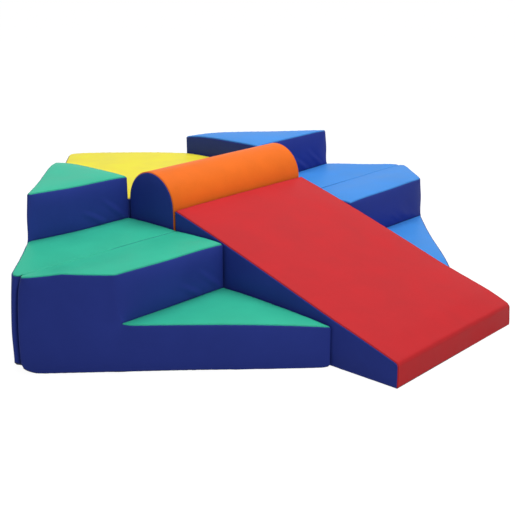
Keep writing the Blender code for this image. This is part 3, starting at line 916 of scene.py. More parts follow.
def end_tree(tree, points, shape, material, scale, turn=None):
    """Put a shape on points, make the instances real, set their material and send them out."""
    row = add_node(tree, "GeometryNodeInstanceOnPoints", None,
                   {"Points": points, "Instance": shape, "Scale": scale})
    if turn:
        tree.links.new(turn, row.inputs["Rotation"])
    real = add_node(tree, "GeometryNodeRealizeInstances", None, {"Geometry": row.outputs[0]})
    worn = add_node(tree, "GeometryNodeSetMaterial", None,
                    {"Geometry": real.outputs[0], "Material": material})
    add_node(tree, "NodeGroupOutput", None, {0: worn.outputs[0]})


def scaled_sides(tree, x, y, z, factor=1.0):
    """Return a vector of three sockets, all times a factor."""
    joined_sides = add_node(tree, "ShaderNodeCombineXYZ", None, {"X": x, "Y": y, "Z": z})
    return add_node(tree, "ShaderNodeVectorMath", {"operation": "SCALE", "Scale": factor},
                    {0: joined_sides.outputs[0]}).outputs[0]


def stitch_tree():
    """Return the tree that lays stitches along the edges of a mesh."""
    tree, given = new_tree("stitch_row", ("Pitch", "Length", "Thread"))
    path = add_node(tree, "GeometryNodeMeshToCurve", None, {"Mesh": given["Geometry"]})
    steps = add_node(tree, "GeometryNodeResampleCurve", {"mode": "LENGTH"},
                     {"Curve": path.outputs[0], "Length": given["Pitch"]})
    way = add_node(tree, "GeometryNodeInputTangent")
    turn = add_node(tree, "FunctionNodeAlignRotationToVector", {"axis": "X"},
                    {"Vector": way.outputs[0]})
    bead = add_node(tree, "GeometryNodeMeshUVSphere", {"Segments": 6, "Rings": 4, "Radius": 1.0})
    size = scaled_sides(tree, given["Length"], given["Thread"], given["Thread"], 0.5)
    end_tree(tree, steps.outputs[0], bead.outputs[0], given["Material"], size, turn.outputs[0])
    return tree


def tooth_tree():
    """Return the tree that lays two rows of meshed zip teeth along x."""
    tree, given = new_tree("zip_teeth", ("Pitch", "Width", "Height", "Apart"), ("Count",))
    step = add_node(tree, "ShaderNodeCombineXYZ", None, {"X": given["Pitch"]})
    line = add_node(tree, "GeometryNodeMeshLine", None,
                    {"Count": given["Count"], "Offset": step.outputs[0]})
    index = add_node(tree, "GeometryNodeInputIndex")
    odd = add_node(tree, "ShaderNodeMath", {"operation": "MODULO", 1: 2.0}, {0: index.outputs[0]})
    side = add_node(tree, "ShaderNodeMapRange", {"To Min": -0.5, "To Max": 0.5},
                    {"Value": odd.outputs[0]})
    aside = add_node(tree, "ShaderNodeMath", {"operation": "MULTIPLY"},
                     {0: side.outputs[0], 1: given["Apart"]})
    shift = add_node(tree, "ShaderNodeCombineXYZ", None, {"Y": aside.outputs[0]})
    places = add_node(tree, "GeometryNodeSetPosition", None,
                      {"Geometry": line.outputs[0], "Offset": shift.outputs[0]})
    peg = add_node(tree, "GeometryNodeMeshCylinder", {"Vertices": 8, "Radius": 0.5, "Depth": 1.0})
    size = scaled_sides(tree, given["Pitch"], given["Width"], given["Height"])
    end_tree(tree, places.outputs[0], peg.outputs[0], given["Material"], size)
    return tree


def pile_tree():
    """Return the tree that covers a rectangle with small hooks or loops."""
    tree, given = new_tree("fastening_pile", ("Long", "High", "Length", "Width", "Height", "Turn"),
                           ("Columns", "Rows", "Seed"))
    field = add_node(tree, "GeometryNodeMeshGrid", None,
                     {"Size X": given["Long"], "Size Y": given["High"],
                      "Vertices X": given["Columns"], "Vertices Y": given["Rows"]})
    chance = add_node(tree, "FunctionNodeRandomValue", {"data_type": "FLOAT"})
    tree.links.new(given["Turn"], chance.inputs[3])
    tree.links.new(given["Seed"], chance.inputs["Seed"])
    turn = add_node(tree, "ShaderNodeCombineXYZ", None, {"Z": chance.outputs[1]})
    bead = add_node(tree, "GeometryNodeMeshUVSphere", {"Segments": 5, "Rings": 4, "Radius": 0.5})
    size = scaled_sides(tree, given["Length"], given["Width"], given["Height"])
    end_tree(tree, field.outputs[0], bead.outputs[0], given["Material"], size, turn.outputs[0])
    return tree


def grown(start, maker, values):
    """Run a node tree on an object, or on nothing, and return the plain mesh that it makes."""
    if start is None:
        start = added("row_start", bpy.data.meshes.new("row_start"))
    modifier = start.modifiers.new("Row", "NODES")
    name = maker.__name__
    tree = bpy.data.node_groups.get(name) or maker()
    tree.name = name
    modifier.node_group = tree
    for socket in tree.interface.items_tree:
        if socket.in_out == "INPUT" and socket.name in values:
            modifier[socket.identifier] = values[socket.name]
    mesh = bpy.data.meshes.new_from_object(evaluated(start))
    lines = start.data
    bpy.data.objects.remove(start)
    bpy.data.meshes.remove(lines)
    return mesh


def gathered(name, parts):
    """Join plain meshes of one material each into one piece at the origin."""
    mesh = bpy.data.meshes.new(name)
    shape = bmesh.new()
    for index, part in enumerate(parts):
        count = len(shape.faces)
        shape.from_mesh(part)
        shape.faces.ensure_lookup_table()
        for face in shape.faces[count:]:
            face.material_index = index
        mesh.materials.append(next(worn for worn in part.materials if worn))
        bpy.data.meshes.remove(part)
    shape.to_mesh(mesh)
    shape.free()
    mesh.shade_smooth()
    return added(name, mesh)


def stitches(row, material):
    """Return the mesh of stitches of one thread along a row."""
    size = sizes()
    return grown(row, stitch_tree, {"Pitch": size.stitch_pitch, "Length": size.stitch_length,
                                    "Thread": size.thread, "Material": material})


def top_stitch(mesh, cover, name):
    """Run a row of stitches beside each seam of a cover's coloured panels."""
    names = list(cover.finishes)
    parts = []
    for colour, (inside, outside) in cover.stitched.items():
        row = seam_rows(mesh, [names.index(each) for each in inside],
                        [names.index(each) for each in outside], sizes().stitch_inset)
        parts.append(stitches(row, thread(colour)))
    piece = gathered(name, parts)
    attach(piece, cover.body)


def share_finishes(mesh):
    """Give the panels of one material one slot."""
    panels = panel_of_faces(mesh)
    worn = list(mesh.materials)
    kept = list(dict.fromkeys(worn))
    mesh.materials.clear()
    for finish in kept:
        mesh.materials.append(finish)
    places = np.array([kept.index(finish) for finish in worn], dtype=np.int32)
    mesh.polygons.foreach_set("material_index", places[panels])
    mesh.shade_smooth()
    mesh.update()


def finish_cover(cover, name):
    """Make a cover from its grids, soften and sew it, and put it in the place of its solids."""
    piece = cover.build(name)
    soften(piece, cover)
    crease_edges(piece, cover)
    smooth(piece)
    sew(piece, cover)
    top_stitch(piece.data, cover, name.replace("padded_cover", "top_stitches"))
    share_finishes(piece.data)
    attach(piece, cover.body)
    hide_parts(*cover.nodes)


def stair_rise():
    """Return the height of one step, from the crowns of the treads."""
    return (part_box("green_back_top_tread")[1][2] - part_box("green_front_bottom_tread")[1][2]) / 2


def farthest(node, x_way, y_way):
    """Return how far a node reaches along the sum of two directions."""
    return max(x_way * vertex.co.x + y_way * vertex.co.y
               for vertex in frame["nodes"][node].data.vertices)


def stair_cover(colour, half):
    """Return the cover of one stair block, drawn outwards from the slide and away from the fold."""
    size = sizes()
    side, way, far = SIDE_OF[colour], WAY_OF[half], FAR_TREAD[half]
    prefix = colour + "_" + half
    low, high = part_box(prefix + "_base")
    inner_x = low[0] if side > 0 else high[0]
    fold_y = low[1] if way > 0 else high[1]
    tall = "middle" if half == "front" else "top"
    depth = abs(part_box(prefix + "_" + tall + "_tread")[0][1] - fold_y)
    width = farthest(prefix + "_base", side, way) - way * fold_y - side * inner_x
    rise, near_rises, far_rises = stair_rise(), RISES_UNDER["middle"], RISES_UNDER[far]
    near_top, far_top = near_rises * rise, far_rises * rise
    step_low, step_high = sorted((near_top, far_top))

    def place(point):
        return inner_x + side * point[0], fold_y + way * point[1], point[2]

    cover = Cover(
        prefix + "_block",
        {"middle_tread": (colour, size.crown), "far_tread": (colour, size.crown),
         "outer_side": ("navy", size.swell), "inner_side": ("navy", size.hidden_swell),
         "fold_side": ("navy", 0.0), "riser": ("navy", size.swell * RISER_SWELL)},
        [prefix + "_" + word for word in
         ("middle_core", far + "_core", "side_cover", "middle_tread", far + "_tread", "base")])
    along = joined(spaced(depth), spaced(width - depth))
    split = len(spaced(depth)) - 1
    out = [width - value for value in along]
    rows, lines = [0], len(spaced(rise)) - 1
    for _ in range(max(near_rises, far_rises)):
        rows = joined(rows, spaced(rise))

    def heights(first, last):
        return rows[first * lines:last * lines + 1]

    cover.cut_grid(out, along, near_top, place, "middle_tread", 0, split)
    cover.cut_grid(out, along, far_top, place, "far_tread", split)
    cover.cut_grid(out, along, 0, place, "base")
    for plan, panel in ((list(zip(out, along)), "outer_side"),
                        ([(0, y) for y in along], "inner_side")):
        cover.grid(upright(plan[:split + 1], heights(0, near_rises), place), panel)
        cover.grid(upright(plan[split:], heights(0, far_rises), place), panel)
    cover.grid(upright([(x, 0) for x in out], heights(0, near_rises), place), "fold_side")
    cover.grid(upright([(x, depth) for x in out[split:]],
                       heights(*sorted((near_rises, far_rises))), place), "riser")

    plans = {"inner_fold": (0, 0), "outer_fold": (width, 0), "inner_step": (0, depth),
             "outer_step": (width - depth, depth), "far_tip": (0, width),
             "outer_middle": (width - depth / 2, depth / 2)}
    levels = {"floor": 0, "mid": near_top * MID_LEVEL, "near": near_top, "far": far_top,
              "low": step_low, "riser": (step_low + step_high) / 2, "high": step_high}
    for start, end, level, lift, droop in STAIR_BOWS:
        ends = [place((*plans[corner], levels[level])) for corner in (start, end)]
        cover.lifts.append((*ends, size.edge_lift * lift[half], size.corner_droop * droop))
    for corner, level, pull, reach in STAIR_PULLS[prefix]:
        cover.pull(place((*plans[corner], levels[level])),
                   (side * pull[0], way * pull[1], pull[2]), reach)

    def round_edge(corner, inward, wedge, radius, amount):
        cover.roundings.append(([0, 1], place((*plans[corner], 0))[:2],
                                (side * inward[0], way * inward[1]), wedge, radius, amount))

    def over_step(z):
        return np.clip((z - step_low) / STEP_FADE, 0, 1)

    def gain(z, low_z, high_z):
        return np.clip((z - low_z) / high_z, 0, 1) ** TIP_GAIN_POWER

    turn = math.sqrt(0.5)
    round_edge("outer_fold", (-1, 0), TIP_WEDGE, TIP_RADIUS,
               lambda z: FOLD_TIP_FLOOR + FOLD_TIP_TOP * gain(z, 0, near_top))
    round_edge("outer_fold", (-1 - turn, turn), TIP_WEDGE / 2, FOLD_EDGE_RADIUS, np.ones_like)
    if half == "front":
        round_edge("outer_step", (-turn, turn - 1), STEP_WEDGE, STEP_RADIUS, over_step)
    else:
        round_edge(
            "outer_step", (-1 - turn, turn), TIP_WEDGE / 2, STEP_TIP_RADIUS,
            lambda z: over_step(z) * (STEP_TIP_FLOOR + STEP_TIP_TOP * gain(z, step_low, rise)))
        cover.shown["inner_side"] = above([(-1, 1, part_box("platform_top")[0][2])])
        cover.swells["inner_side"] = size.swell * SIDE_SWELL
    cover.shown["middle_tread"] = (
        lambda points: np.clip(np.abs(points[:, 1] - fold_y) / FOLD_FADE, FOLD_LEAST, 1))
    low_x = 0 if side < 0 else width - depth
    for inset, lift_off, length, climb in RISER_FOLDS:
        base_x, base_z = low_x - side * inset, step_low + lift_off
        cover.folds.append(("riser", place((base_x, depth, base_z)),
                            place((base_x - side * length, depth, base_z + climb))))
    cover.stitched = {colour: (("middle_tread", "far_tread"),
                               ("outer_side", "inner_side", "riser"))}
    cover.creased = [("middle_tread", "fold_side", FOLD_CREASE)]
    return cover


def beside_stairs():
    """Return how clear a point of a side stands above the stair blocks that close it in."""
    front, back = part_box("green_front_base"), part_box("green_back_base")
    riser_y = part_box("green_front_middle_tread")[0][1]
    back_riser_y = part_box("green_back_top_tread")[0][1]
    rise = stair_rise()
    return above([(front[0][1], riser_y, rise), (riser_y, back_riser_y, 2 * rise),
                  (back_riser_y, back[1][1], 3 * rise)])


def slide_cover():
    """Return the cover of the slide: red over the slope and down the foot, navy on the sides."""
    size = sizes()
    low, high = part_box("slide_base")
    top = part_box("slide_top_cover")[1][2]
    sides = {"left_side": low[0], "right_side": high[0]}
    cover = Cover(
        "slide_block",
        {"slope": ("red", size.swell), "left_side": ("navy", size.swell * SIDE_SWELL),
         "right_side": ("navy", size.swell * SIDE_SWELL), "back": ("navy", size.hidden_swell)},
        ["slide_core", "slide_top_cover", "slide_side_cover", "slide_base"])
    cover.shown = {name: beside_stairs() for name in sides}
    cover.shown["slope"] = (
        lambda points: np.clip((points[:, 1] - low[1]) / FOOT_FADE, FOOT_LEAST, 1))
    across = [low[0] + value for value in spaced(high[0] - low[0])]
    along = [low[1] + value for value in NOSE_LINES + spaced(high[1] - low[1])[1:]]
    count = len(spaced(top)) - 3

    def height(y):
        return SLIDE_FOOT_HEIGHT + (top - SLIDE_FOOT_HEIGHT) * (y - low[1]) / (high[1] - low[1])

    def column(x, y):
        return [(x, y, z) for z in spaced(height(y), count)]

    cover.grid([[(x, y, height(y)) for x in across] for y in along], "slope")
    cover.grid([column(x, low[1]) for x in across], "slope")
    cover.grid([column(x, high[1]) for x in across], "back")
    for name, x in sides.items():
        cover.grid([column(x, y) for y in along], name)
    cover.grid([[(x, y, 0) for x in across] for y in along], "base")
    for x in sides.values():
        cover.lifts.append(((x, low[1], SLIDE_FOOT_HEIGHT), (x, high[1], top),
                            size.edge_lift * SLIDE_LIFT, size.corner_droop))
    cover.lifts.append(((low[0], high[1], top), (high[0], high[1], top), 0, size.corner_droop))
    pitch = math.atan2(top - SLIDE_FOOT_HEIGHT, high[1] - low[1])
    cover.roundings.append((
        [1, 2], (low[1], SLIDE_FOOT_HEIGHT), (math.cos(pitch), math.sin(pitch) - 1),
        (math.pi / 2 + pitch) / 2, SLIDE_NOSE_RADIUS, np.ones_like))
    for side, share, pull, reach in SLIDE_PULLS:
        y = low[1] + share * (high[1] - low[1])
        cover.pull((side * high[0], y, height(y)), pull, reach)
    cover.stitched = {"red": (("slope",), ("left_side", "right_side", "back"))}
    return cover


def arch_cover():
    """Return the cover of the arch: orange over its round top and down both faces."""
    size = sizes()
    low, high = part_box("arch_left_end_cap")
    caps = {"left_cap": low[0], "right_cap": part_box("arch_right_end_cap")[1][0]}
    radius = (high[1] - low[1]) / 2
    middle = (low[1] + high[1]) / 2
    shoulder = high[2] - radius
    cover = Cover(
        "arch_block",
        {"top": ("orange", size.hidden_swell), "left_cap": ("navy", size.swell * CAP_SWELL),
         "right_cap": ("navy", size.swell * CAP_SWELL)},
        ["arch_core", "arch_top_cover", "arch_left_end_cap", "arch_right_end_cap", "arch_base"])
    cover.shown = {name: beside_stairs() for name in caps}
    rows = spaced(shoulder)[:-1]
    turns = max(ARCH_TURNS, round(math.pi * radius / cloth_spacing()))
    angles = [math.pi * turn / turns for turn in range(turns + 1)]
    insets = [value for value in spaced(2 * radius) if value < radius - SEAM_SPACING / 2] + [radius]
    across = [low[0] + value for value in spaced(caps["right_cap"] - low[0])]

    def path(inset):
        inner = radius - inset
        round_top = [(middle - inner * math.cos(angle), shoulder + inner * math.sin(angle))
                     for angle in angles]
        front = [(middle - inner, z) for z in rows]
        return front + round_top + [(middle + inner, z) for z in reversed(rows)]

    cover.grid([[(x, y, z) for y, z in path(0)] for x in across], "top")
    for name, x in caps.items():
        cover.grid([[(x, y, z) for y, z in path(inset)] for inset in insets], name)
    bottom = [middle - radius + inset for inset in insets]
    bottom += [middle + radius - inset for inset in insets[-2::-1]]
    cover.grid([[(x, y, 0) for y in bottom] for x in across], "base")
    cover.stitched = {"orange": (("top",), ("left_cap", "right_cap"))}
    return cover


def platform_cover():
    """Return the cover of the five-sided platform, yellow on top."""
    size = sizes()
    low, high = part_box("platform_side_cover")
    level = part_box("platform_top")[1][2] - TREAD_CROWN
    half, front = high[0], low[1]
    shoulder = front + PLATFORM_SIDE
    apex = shoulder + PLATFORM_NOSE
    out = [half - value for value in spaced(half)]
    nose = [apex - PLATFORM_NOSE * value / half for value in out]
    along = [front + value for value in spaced(shoulder - front)]
    across = [-value for value in out] + out[-2::-1]
    sides = {"front": [(x, front) for x in across], "left_side": [(-half, y) for y in along],
             "right_side": [(half, y) for y in along],
             "left_nose": [(-x, y) for x, y in zip(out, nose)], "right_nose": list(zip(out, nose))}
    cover = Cover(
        "platform_block",
        {"top": ("yellow", size.crown),
         **{name: ("navy", size.swell if "nose" in name else size.hidden_swell) for name in sides}},
        ["platform_core", "platform_top", "platform_side_cover", "platform_base"])
    for z, panel in ((level, "top"), (0, "base")):
        cover.grid([[(x, y, z) for x in across] for y in along], panel)
        cover.cut_grid(out, nose, z, lambda point: (-point[0], point[1], point[2]), panel)
        cover.cut_grid(out, nose, z, tuple, panel)
    for panel, plan in sides.items():
        cover.grid([[(x, y, z) for x, y in plan] for z in spaced(level)], panel)
    outline = [(-half, front), (half, front), (half, shoulder), (0, apex), (-half, shoulder)]
    for start, end in zip(outline, outline[1:] + outline[:1]):
        cover.lifts.append(((*start, level), (*end, level), size.edge_lift, size.corner_droop))
    cover.roundings.append(([0, 1], (0, apex), (0, -1), PLATFORM_NOSE_WEDGE, PLATFORM_NOSE_RADIUS,
                            np.ones_like))
    cover.stitched = {"yellow": (("top",), tuple(sides))}
    return cover


def fold_web(colour):
    """Make the strip of tread vinyl that joins the two halves of a staircase at their fold."""
    side = SIDE_OF[colour]
    front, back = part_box(colour + "_front_base"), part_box(colour + "_back_base")
    fold_y = (front[1][1] + back[0][1]) / 2
    inner_x = front[0][0] if side > 0 else front[1][0]
    width = farthest(colour + "_back_base", side, 1) - back[0][1] - side * inner_x
    surfaces = [surface_of(bpy.data.objects[colour + "_" + half + "_padded_cover"].data)
                for half in WAY_OF]

    def level(x, y):
        hits = [surface.ray_cast(Vector((x, y, 1)), Vector((0, 0, -1)))[0] for surface in surfaces]
        return max([hit.z for hit in hits if hit] or [0])

    shape = bmesh.new()
    columns = []
    last = width - TIP_RADIUS * WEB_END
    shares = [step / WEB_STEPS for step in range(-WEB_STEPS, WEB_STEPS + 1)]
    for step in range(round(last / WEB_SPACING)):
        out = WEB_SPACING / 2 + step * WEB_SPACING
        x = inner_x + side * out
        reach = min(WEB_HALF, WEB_TAPER * (last + WEB_SPACING - out))
        before, after = level(x, fold_y - reach), level(x, fold_y + reach)
        dip = WEB_DIP * (1 - WEB_DIP_FADE * out / width)
        tops = []
        for share in shares:
            height = before + (after - before) * (share + 1) / 2 + WEB_LIFT
            height -= (dip * math.exp(-(share / WEB_DIP_WIDTH) ** 2)
                       + WEB_TUCK * abs(share) ** WEB_TUCK_POWER)
            tops.append((x, fold_y + share * reach, height))
        unders = [(x, y, z - WEB_THICKNESS) for x, y, z in reversed(tops)]
        columns.append([shape.verts.new(point) for point in tops + unders])
    for first, second in zip(columns, columns[1:]):
        for index in range(len(first)):
            beside = (index + 1) % len(first)
            shape.faces.new((first[index], first[beside], second[beside], second[index]))
    shape.faces.new(columns[0])
    shape.faces.new(columns[-1])
    bmesh.ops.recalc_face_normals(shape, faces=shape.faces)
    mesh = plain_mesh(shape, colour + "_fold_web", vinyl(colour))
    # Painted shade: the web's colour darkens along the middle of its valley at the fold
    mark_seams(mesh, (coordinates(mesh)[:, 1] - fold_y) / WEB_HALF, WEB_SHADE_WIDTH)
    mesh.shade_smooth()
    web = added(mesh.name, mesh)
    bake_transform(web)


def body_name(node):
    """Return the name of the body that a node of the frame rides on."""
    carrier = frame["nodes"][node].parent
    return next(name for name, empty in frame["bodies"].items() if empty == carrier)


def outward_frame(node):
    """Return the matrix of a flat part's frame, along, up and out of its block, and its sizes."""
    low, high = (Vector(corner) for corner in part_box(node))
    block = max((name for name in SIDE_BASES if node.startswith(name)), key=len)
    base_low, base_high = (Vector(corner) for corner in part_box(SIDE_BASES[block]))
    axis = 0 if high.x - low.x < high.y - low.y else 1
    out = Vector()
    out[axis] = math.copysign(1, (low + high)[axis] - (base_low + base_high)[axis])
    up = Vector((0, 0, 1))
    along = up.cross(out)
    toward = along + up + out
    matrix = Matrix((along, up, out)).transposed().to_4x4()
    matrix.translation = [low[i] if toward[i] > 0 else high[i] for i in range(3)]
    size = high - low
    return matrix, abs(size.dot(along)), size.z, abs(size.dot(out))


def prism(outline, low, high, material, bevel):
    """Return the mesh of a flat plate with an outline and rounded edges."""
    shape = bmesh.new()
    floor = [shape.verts.new((x, y, low)) for x, y in outline]
    roof = [shape.verts.new((x, y, high)) for x, y in outline]
    shape.faces.new(reversed(floor))
    shape.faces.new(roof)
    for index in range(len(outline)):
        after = (index + 1) % len(outline)
        shape.faces.new((floor[index], floor[after], roof[after], roof[index]))
    rims = [edge for edge in shape.edges if abs(edge.verts[0].co.z - edge.verts[1].co.z) < MERGE]
    bmesh.ops.bevel(shape, geom=rims, offset=bevel, segments=EDGE_STEPS, affect="EDGES")
    bmesh.ops.recalc_face_normals(shape, faces=shape.faces)
    return plain_mesh(shape, "plate", material)


def plain_mesh(shape, name, material):
    """Return a mesh with one material from a bmesh, which is freed."""
    mesh = bpy.data.meshes.new(name)
    shape.to_mesh(mesh)
    shape.free()
    mesh.materials.append(material)
    return mesh


def rounded_outline(long, high, radius, left=0.0, low=0.0):
    """Return the outline of a rectangle with round corners, turning left."""
    right, roof = left + long - radius, low + high - radius
    left, low = left + radius, low + radius
    angles = [math.radians(90 * turn / CORNER_TURNS) for turn in range(CORNER_TURNS + 1)]
    return [(x + radius * math.cos(start + angle), y + radius * math.sin(start + angle))
            for x, y, start in ((right, low, -math.pi / 2), (right, roof, 0),
                                (left, roof, math.pi / 2), (left, low, math.pi))
            for angle in angles]


def border_row(long, high, inset, level):
    """Return a closed line inside the edge of a flat part."""
    outline = rounded_outline(long - 2 * inset, high - 2 * inset, inset / 2, inset, inset)
    lines = bpy.data.meshes.new("border")
    count = len(outline)
    lines.from_pydata([(x, y, level) for x, y in outline],
                      [(index, (index + 1) % count) for index in range(count)], [])
    return added("border", lines)


def put_in_place(name, parts, node, matrix):
    """Join parts drawn in a flat part's own frame, place them and let them stand for its solid."""
    piece = gathered(name, parts)
    piece.data.transform(matrix)
    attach(piece, body_name(node))
    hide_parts(node)


def tape_material():
    """Return the woven tape of zips and fastening strips."""
    return made_once("woven_nylon_tape", woven_tape, "tape")


def make_zip(node):
    """Make a closed zip: its two tapes, the rib beside its teeth, the teeth and the sewing."""
    size = sizes()
    matrix, long, high, deep = outward_frame(node)
    tape = tape_material()
    teeth = made_once("moulded_acetal_teeth", moulded_teeth, "tape")
    tape_top, middle = deep * ZIP_TAPE, high / 2
    parts = []
    for low in (0, middle + ZIP_SPLIT / 2):
        parts.append(prism(rounded_outline(long, middle - ZIP_SPLIT / 2, ZIP_CORNER, 0, low),
                           0, tape_top, tape, ZIP_EDGE))
    for aside in (-ZIP_TOOTH_WIDTH, ZIP_TOOTH_WIDTH):
        rib = rounded_outline(long, ZIP_RIB, ZIP_RIB * ZIP_RIB_CORNER, 0,
                              middle + aside - ZIP_RIB / 2)
        parts.append(prism(rib, deep * ZIP_RIB_LOW, deep * ZIP_RIB_HIGH, tape,
                           ZIP_RIB * ZIP_RIB_EDGE))
    count = int((long - 2 * ZIP_CORNER) / size.tooth_pitch)
    row = grown(None, tooth_tree, {
        "Count": count, "Pitch": size.tooth_pitch, "Width": ZIP_TOOTH_WIDTH,
        "Height": deep * TOOTH_HEIGHT, "Apart": ZIP_TOOTH_WIDTH * TOOTH_APART, "Material": teeth})
    start = (long - (count - 1) * size.tooth_pitch) / 2
    row.transform(Matrix.Translation((start, middle, deep * TOOTH_LEVEL)))
    parts.append(row)
    parts.append(stitches(border_row(long, high, ZIP_HEM, tape_top), thread("navy")))
    put_in_place(node + "_with_teeth", parts, node, matrix)


def make_strip(node):
    """Make a hook or loop strip: its woven backing, its pile and its stitched border."""
    pitch = sizes().pile_pitch
    matrix, long, high, deep = outward_frame(node)
    tape = tape_material()
    backing = deep * BACKING
    over = deep - backing
    length, width, height, level, turn = PILE["hook" if "hook" in node else "loop"]
    parts = [prism(rounded_outline(long, high, STRIP_CORNER), 0, backing, tape, STRIP_EDGE)]
    field_long, field_high = long - 2 * STRIP_MARGIN, high - 2 * STRIP_MARGIN
    pile = grown(None, pile_tree, {
        "Long": field_long, "High": field_high, "Columns": round(field_long / pitch),
        "Rows": round(field_high / pitch), "Length": pitch * length, "Width": pitch * width,
        "Height": over * height, "Turn": turn, "Seed": PILE_SEED, "Material": tape})
    pile.transform(Matrix.Translation((long / 2, high / 2, backing + over * level)))
    parts.append(pile)
    parts.append(stitches(border_row(long, high, STRIP_HEM, backing), thread("navy")))
    put_in_place(node + "_sewn_on", parts, node, matrix)


def make_slider(node):
    """Make a zip slider: its lower and upper plates, the neck and the pull tab lying on it."""
    matrix, long, high, deep = outward_frame(node)
    metal = made_once("nickel_plated_zinc", plated_zinc, "metal")
    half = [(x * long, y * high) for x, y in SHIELD]
    outline = half + [(x, high - y) for x, y in reversed(half)]
    solids = [(outline, low, top) for low, top in PLATES]
    for shares, corner, low, top in ((NECK, NECK_CORNER, NECK_LOW, 1),
                                     *((bar, TAB_CORNER, TAB_LOW, TAB_HIGH) for bar in TAB_BARS)):
        left, front, wide, tall = shares
        plan = rounded_outline(long * wide, high * tall, high * corner, long * left, high * front)
        solids.append((plan, low, top))
    parts = [prism(plan, deep * low, deep * top, metal, deep * SLIDER_EDGE)
             for plan, low, top in solids]
    put_in_place(node + "_with_tab", parts, node, matrix)


class CLIMBER_OT_slide(bpy.types.Operator):
    """Make the padded slide block."""

    bl_idname = "climber.slide"
    bl_label = "Slide block"

    def execute(self, context):
        """Make the piece."""
        finish_cover(slide_cover(), "slide_padded_cover")
        return {"FINISHED"}


class CLIMBER_OT_arch(bpy.types.Operator):
    """Make the padded arch block."""

    bl_idname = "climber.arch"
    bl_label = "Arch block"

    def execute(self, context):
        """Make the piece."""
        finish_cover(arch_cover(), "arch_padded_cover")
        return {"FINISHED"}


class CLIMBER_OT_platform(bpy.types.Operator):
    """Make the padded platform block."""

    bl_idname = "climber.platform"
    bl_label = "Platform block"

    def execute(self, context):
        """Make the piece."""
        finish_cover(platform_cover(), "platform_padded_cover")
        return {"FINISHED"}


class CLIMBER_OT_stairs(bpy.types.Operator):
    """Make the four padded stair blocks."""

    bl_idname = "climber.stairs"
    bl_label = "Stair blocks"

    def execute(self, context):
        """Make the pieces."""
        for colour in SIDE_OF:
            for half in WAY_OF:
                finish_cover(stair_cover(colour, half),
                             colour + "_" + half + "_padded_cover")
        return {"FINISHED"}


class CLIMBER_OT_fold_webs(bpy.types.Operator):
    """Make the strips that hold the two halves of each staircase together."""

    bl_idname = "climber.fold_webs"
    bl_label = "Fold webs"

    def execute(self, context):
        """Make the pieces."""
        for colour in SIDE_OF:
            fold_web(colour)
        return {"FINISHED"}


class CLIMBER_OT_zips(bpy.types.Operator):
    """Make the zips of the covers and their sliders."""

    bl_idname = "climber.zips"
    bl_label = "Zips"

    def execute(self, context):
        """Make the pieces."""
        for node in sorted(frame["nodes"]):
            if node.endswith("_zip"):
                make_zip(node)
            if node.endswith("_zip_slider"):
                make_slider(node)
        return {"FINISHED"}


class CLIMBER_OT_strips(bpy.types.Operator):
    """Make the hook and loop strips that hold the blocks together."""

    bl_idname = "climber.strips"
    bl_label = "Fastening strips"

    def execute(self, context):
        """Make the pieces."""
        for node in sorted(frame["nodes"]):
            if node.endswith("_strip"):
                make_strip(node)
        return {"FINISHED"}


class CLIMBER_OT_stage(bpy.types.Operator):
    """Set up the floor, the soft light and the photograph's camera."""

    bl_idname = "climber.stage"
    bl_label = "Stage"

    def execute(self, context):
        """Make the stage."""
        make_floor()
        make_light()
        make_camera()
        return {"FINISHED"}


def seen_or_lit(tree, seen, lit):
    """Return a shader that eyes and gloss see one way and the light bounces off another way."""
    path = add_node(tree, "ShaderNodeLightPath")
    gloss = add_node(tree, "ShaderNodeMath", {"operation": "MAXIMUM"},
                     {0: path.outputs["Is Glossy Ray"], 1: path.outputs["Is Transmission Ray"]})
    either = add_node(tree, "ShaderNodeMath", {"operation": "MAXIMUM"},
                      {0: path.outputs["Is Camera Ray"], 1: gloss.outputs["Value"]})
    return add_node(tree, "ShaderNodeMixShader", None,
                    {0: either.outputs["Value"], 1: lit, 2: seen}).outputs[0]


def make_floor():
    """Lay a plain white floor that keeps a faint shadow."""
    bpy.ops.mesh.primitive_plane_add(size=FLOOR_WIDTH)
    floor = bpy.context.object
    floor.name = "floor"
    material = bpy.data.materials.new("matt_white_floor")
    material.use_nodes = True
    tree = material.node_tree
    tree.nodes.remove(tree.nodes["Principled BSDF"])
    white = add_node(tree, "ShaderNodeEmission", {"Color": (1, 1, 1, 1), "Strength": FLOOR_GLOW})
    shaded = add_node(tree, "ShaderNodeBsdfDiffuse", {"Color": (*[FLOOR_SHADE] * 3, 1)})
    seen = add_node(tree, "ShaderNodeAddShader", None, {0: white.outputs[0], 1: shaded.outputs[0]})
    lit = add_node(tree, "ShaderNodeBsdfDiffuse", {"Color": (*[FLOOR_BOUNCE] * 3, 1)})
    tree.links.new(seen_or_lit(tree, seen.outputs[0], lit.outputs[0]),
                   tree.nodes["Material Output"].inputs["Surface"])
    floor.data.materials.append(material)
    floor.location.z = -FLOOR_CLEARANCE


def make_lamp(name, place, width, power):
    """Hang a round soft lamp at a place, facing the climber."""
    lamp = bpy.data.lights.new(name, "AREA")
    lamp.shape = "DISK"
    lamp.size = width
    lamp.energy = power
    holder = added(name, lamp)
    holder.location = place
    way = Vector(LAMP_TARGET) - Vector(place)
    holder.rotation_euler = way.to_track_quat("-Z", "Y").to_euler()


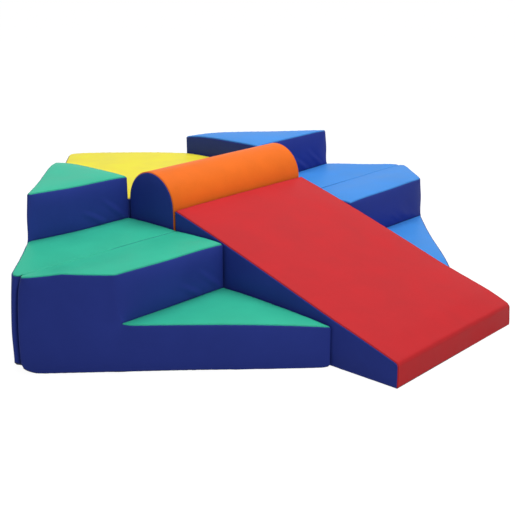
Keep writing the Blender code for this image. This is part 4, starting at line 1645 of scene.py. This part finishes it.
def make_light():
    """Light the stage with an even pale surround and two large soft lamps."""
    world = bpy.data.worlds.new("studio")
    bpy.context.scene.world = world
    world.use_nodes = True
    tree = world.node_tree
    surround = tree.nodes["Background"]
    surround.inputs["Color"].default_value = (1, 1, 1, 1)
    surround.inputs["Strength"].default_value = SURROUND
    white = add_node(tree, "ShaderNodeBackground", {"Color": (1, 1, 1, 1), "Strength": 1.0})
    tree.links.new(seen_or_lit(tree, white.outputs[0], surround.outputs[0]),
                   tree.nodes["World Output"].inputs["Surface"])
    make_lamp("overhead_softbox", OVERHEAD_PLACE, OVERHEAD_WIDTH, OVERHEAD_POWER)
    make_lamp("front_softbox", FRONT_PLACE, FRONT_WIDTH, FRONT_POWER)


def make_camera():
    """Stand the camera where the photograph was taken."""
    data = bpy.data.cameras.new("photo_camera")
    data.sensor_width = SENSOR_WIDTH
    data.lens = FOCAL_PIXELS * SENSOR_WIDTH / PHOTO_PIXELS
    camera = added("photo_camera", data)
    turn = (Matrix.Rotation(math.radians(-CAMERA_HEADING), 4, "Z")
            @ Matrix.Rotation(math.radians(90 - CAMERA_PITCH), 4, "X")
            @ Matrix.Rotation(math.radians(CAMERA_ROLL), 4, "Z"))
    camera.matrix_world = Matrix.Translation(CAMERA_PLACE) @ turn
    bpy.context.scene.camera = camera
    bpy.context.scene.view_settings.view_transform = "Standard"


OPERATORS = (CLIMBER_OT_slide, CLIMBER_OT_arch, CLIMBER_OT_platform, CLIMBER_OT_stairs,
             CLIMBER_OT_fold_webs, CLIMBER_OT_zips, CLIMBER_OT_strips, CLIMBER_OT_stage)


class CLIMBER_PT_panel(bpy.types.Panel):
    """The climber's colours, sizes and operators in the sidebar."""

    bl_idname = "CLIMBER_PT_panel"
    bl_label = "Foam climber"
    bl_space_type = "VIEW_3D"
    bl_region_type = "UI"
    bl_category = "Climber"

    def draw(self, context):
        """List the settings and the operators."""
        for settings in (context.scene.climber_colours, context.scene.climber_sizes):
            for name in settings.__annotations__:
                self.layout.prop(settings, name)
        for operator in OPERATORS:
            self.layout.operator(operator.bl_idname)


CLASSES = (ClimberColours, ClimberSizes, *OPERATORS, CLIMBER_PT_panel)


def register():
    """Register the classes and hang their settings on the scene."""
    for each in CLASSES:
        bpy.utils.register_class(each)
    bpy.types.Scene.climber_colours = PointerProperty(type=ClimberColours)
    bpy.types.Scene.climber_sizes = PointerProperty(type=ClimberSizes)


def unregister():
    """Take the settings and the classes away again."""
    del bpy.types.Scene.climber_sizes
    del bpy.types.Scene.climber_colours
    for each in reversed(CLASSES):
        bpy.utils.unregister_class(each)


def main():
    """Make every piece and the stage."""
    register()
    for operator in OPERATORS:
        group, name = operator.bl_idname.split(".")
        getattr(getattr(bpy.ops, group), name)()


if __name__ == "__main__":
    main()
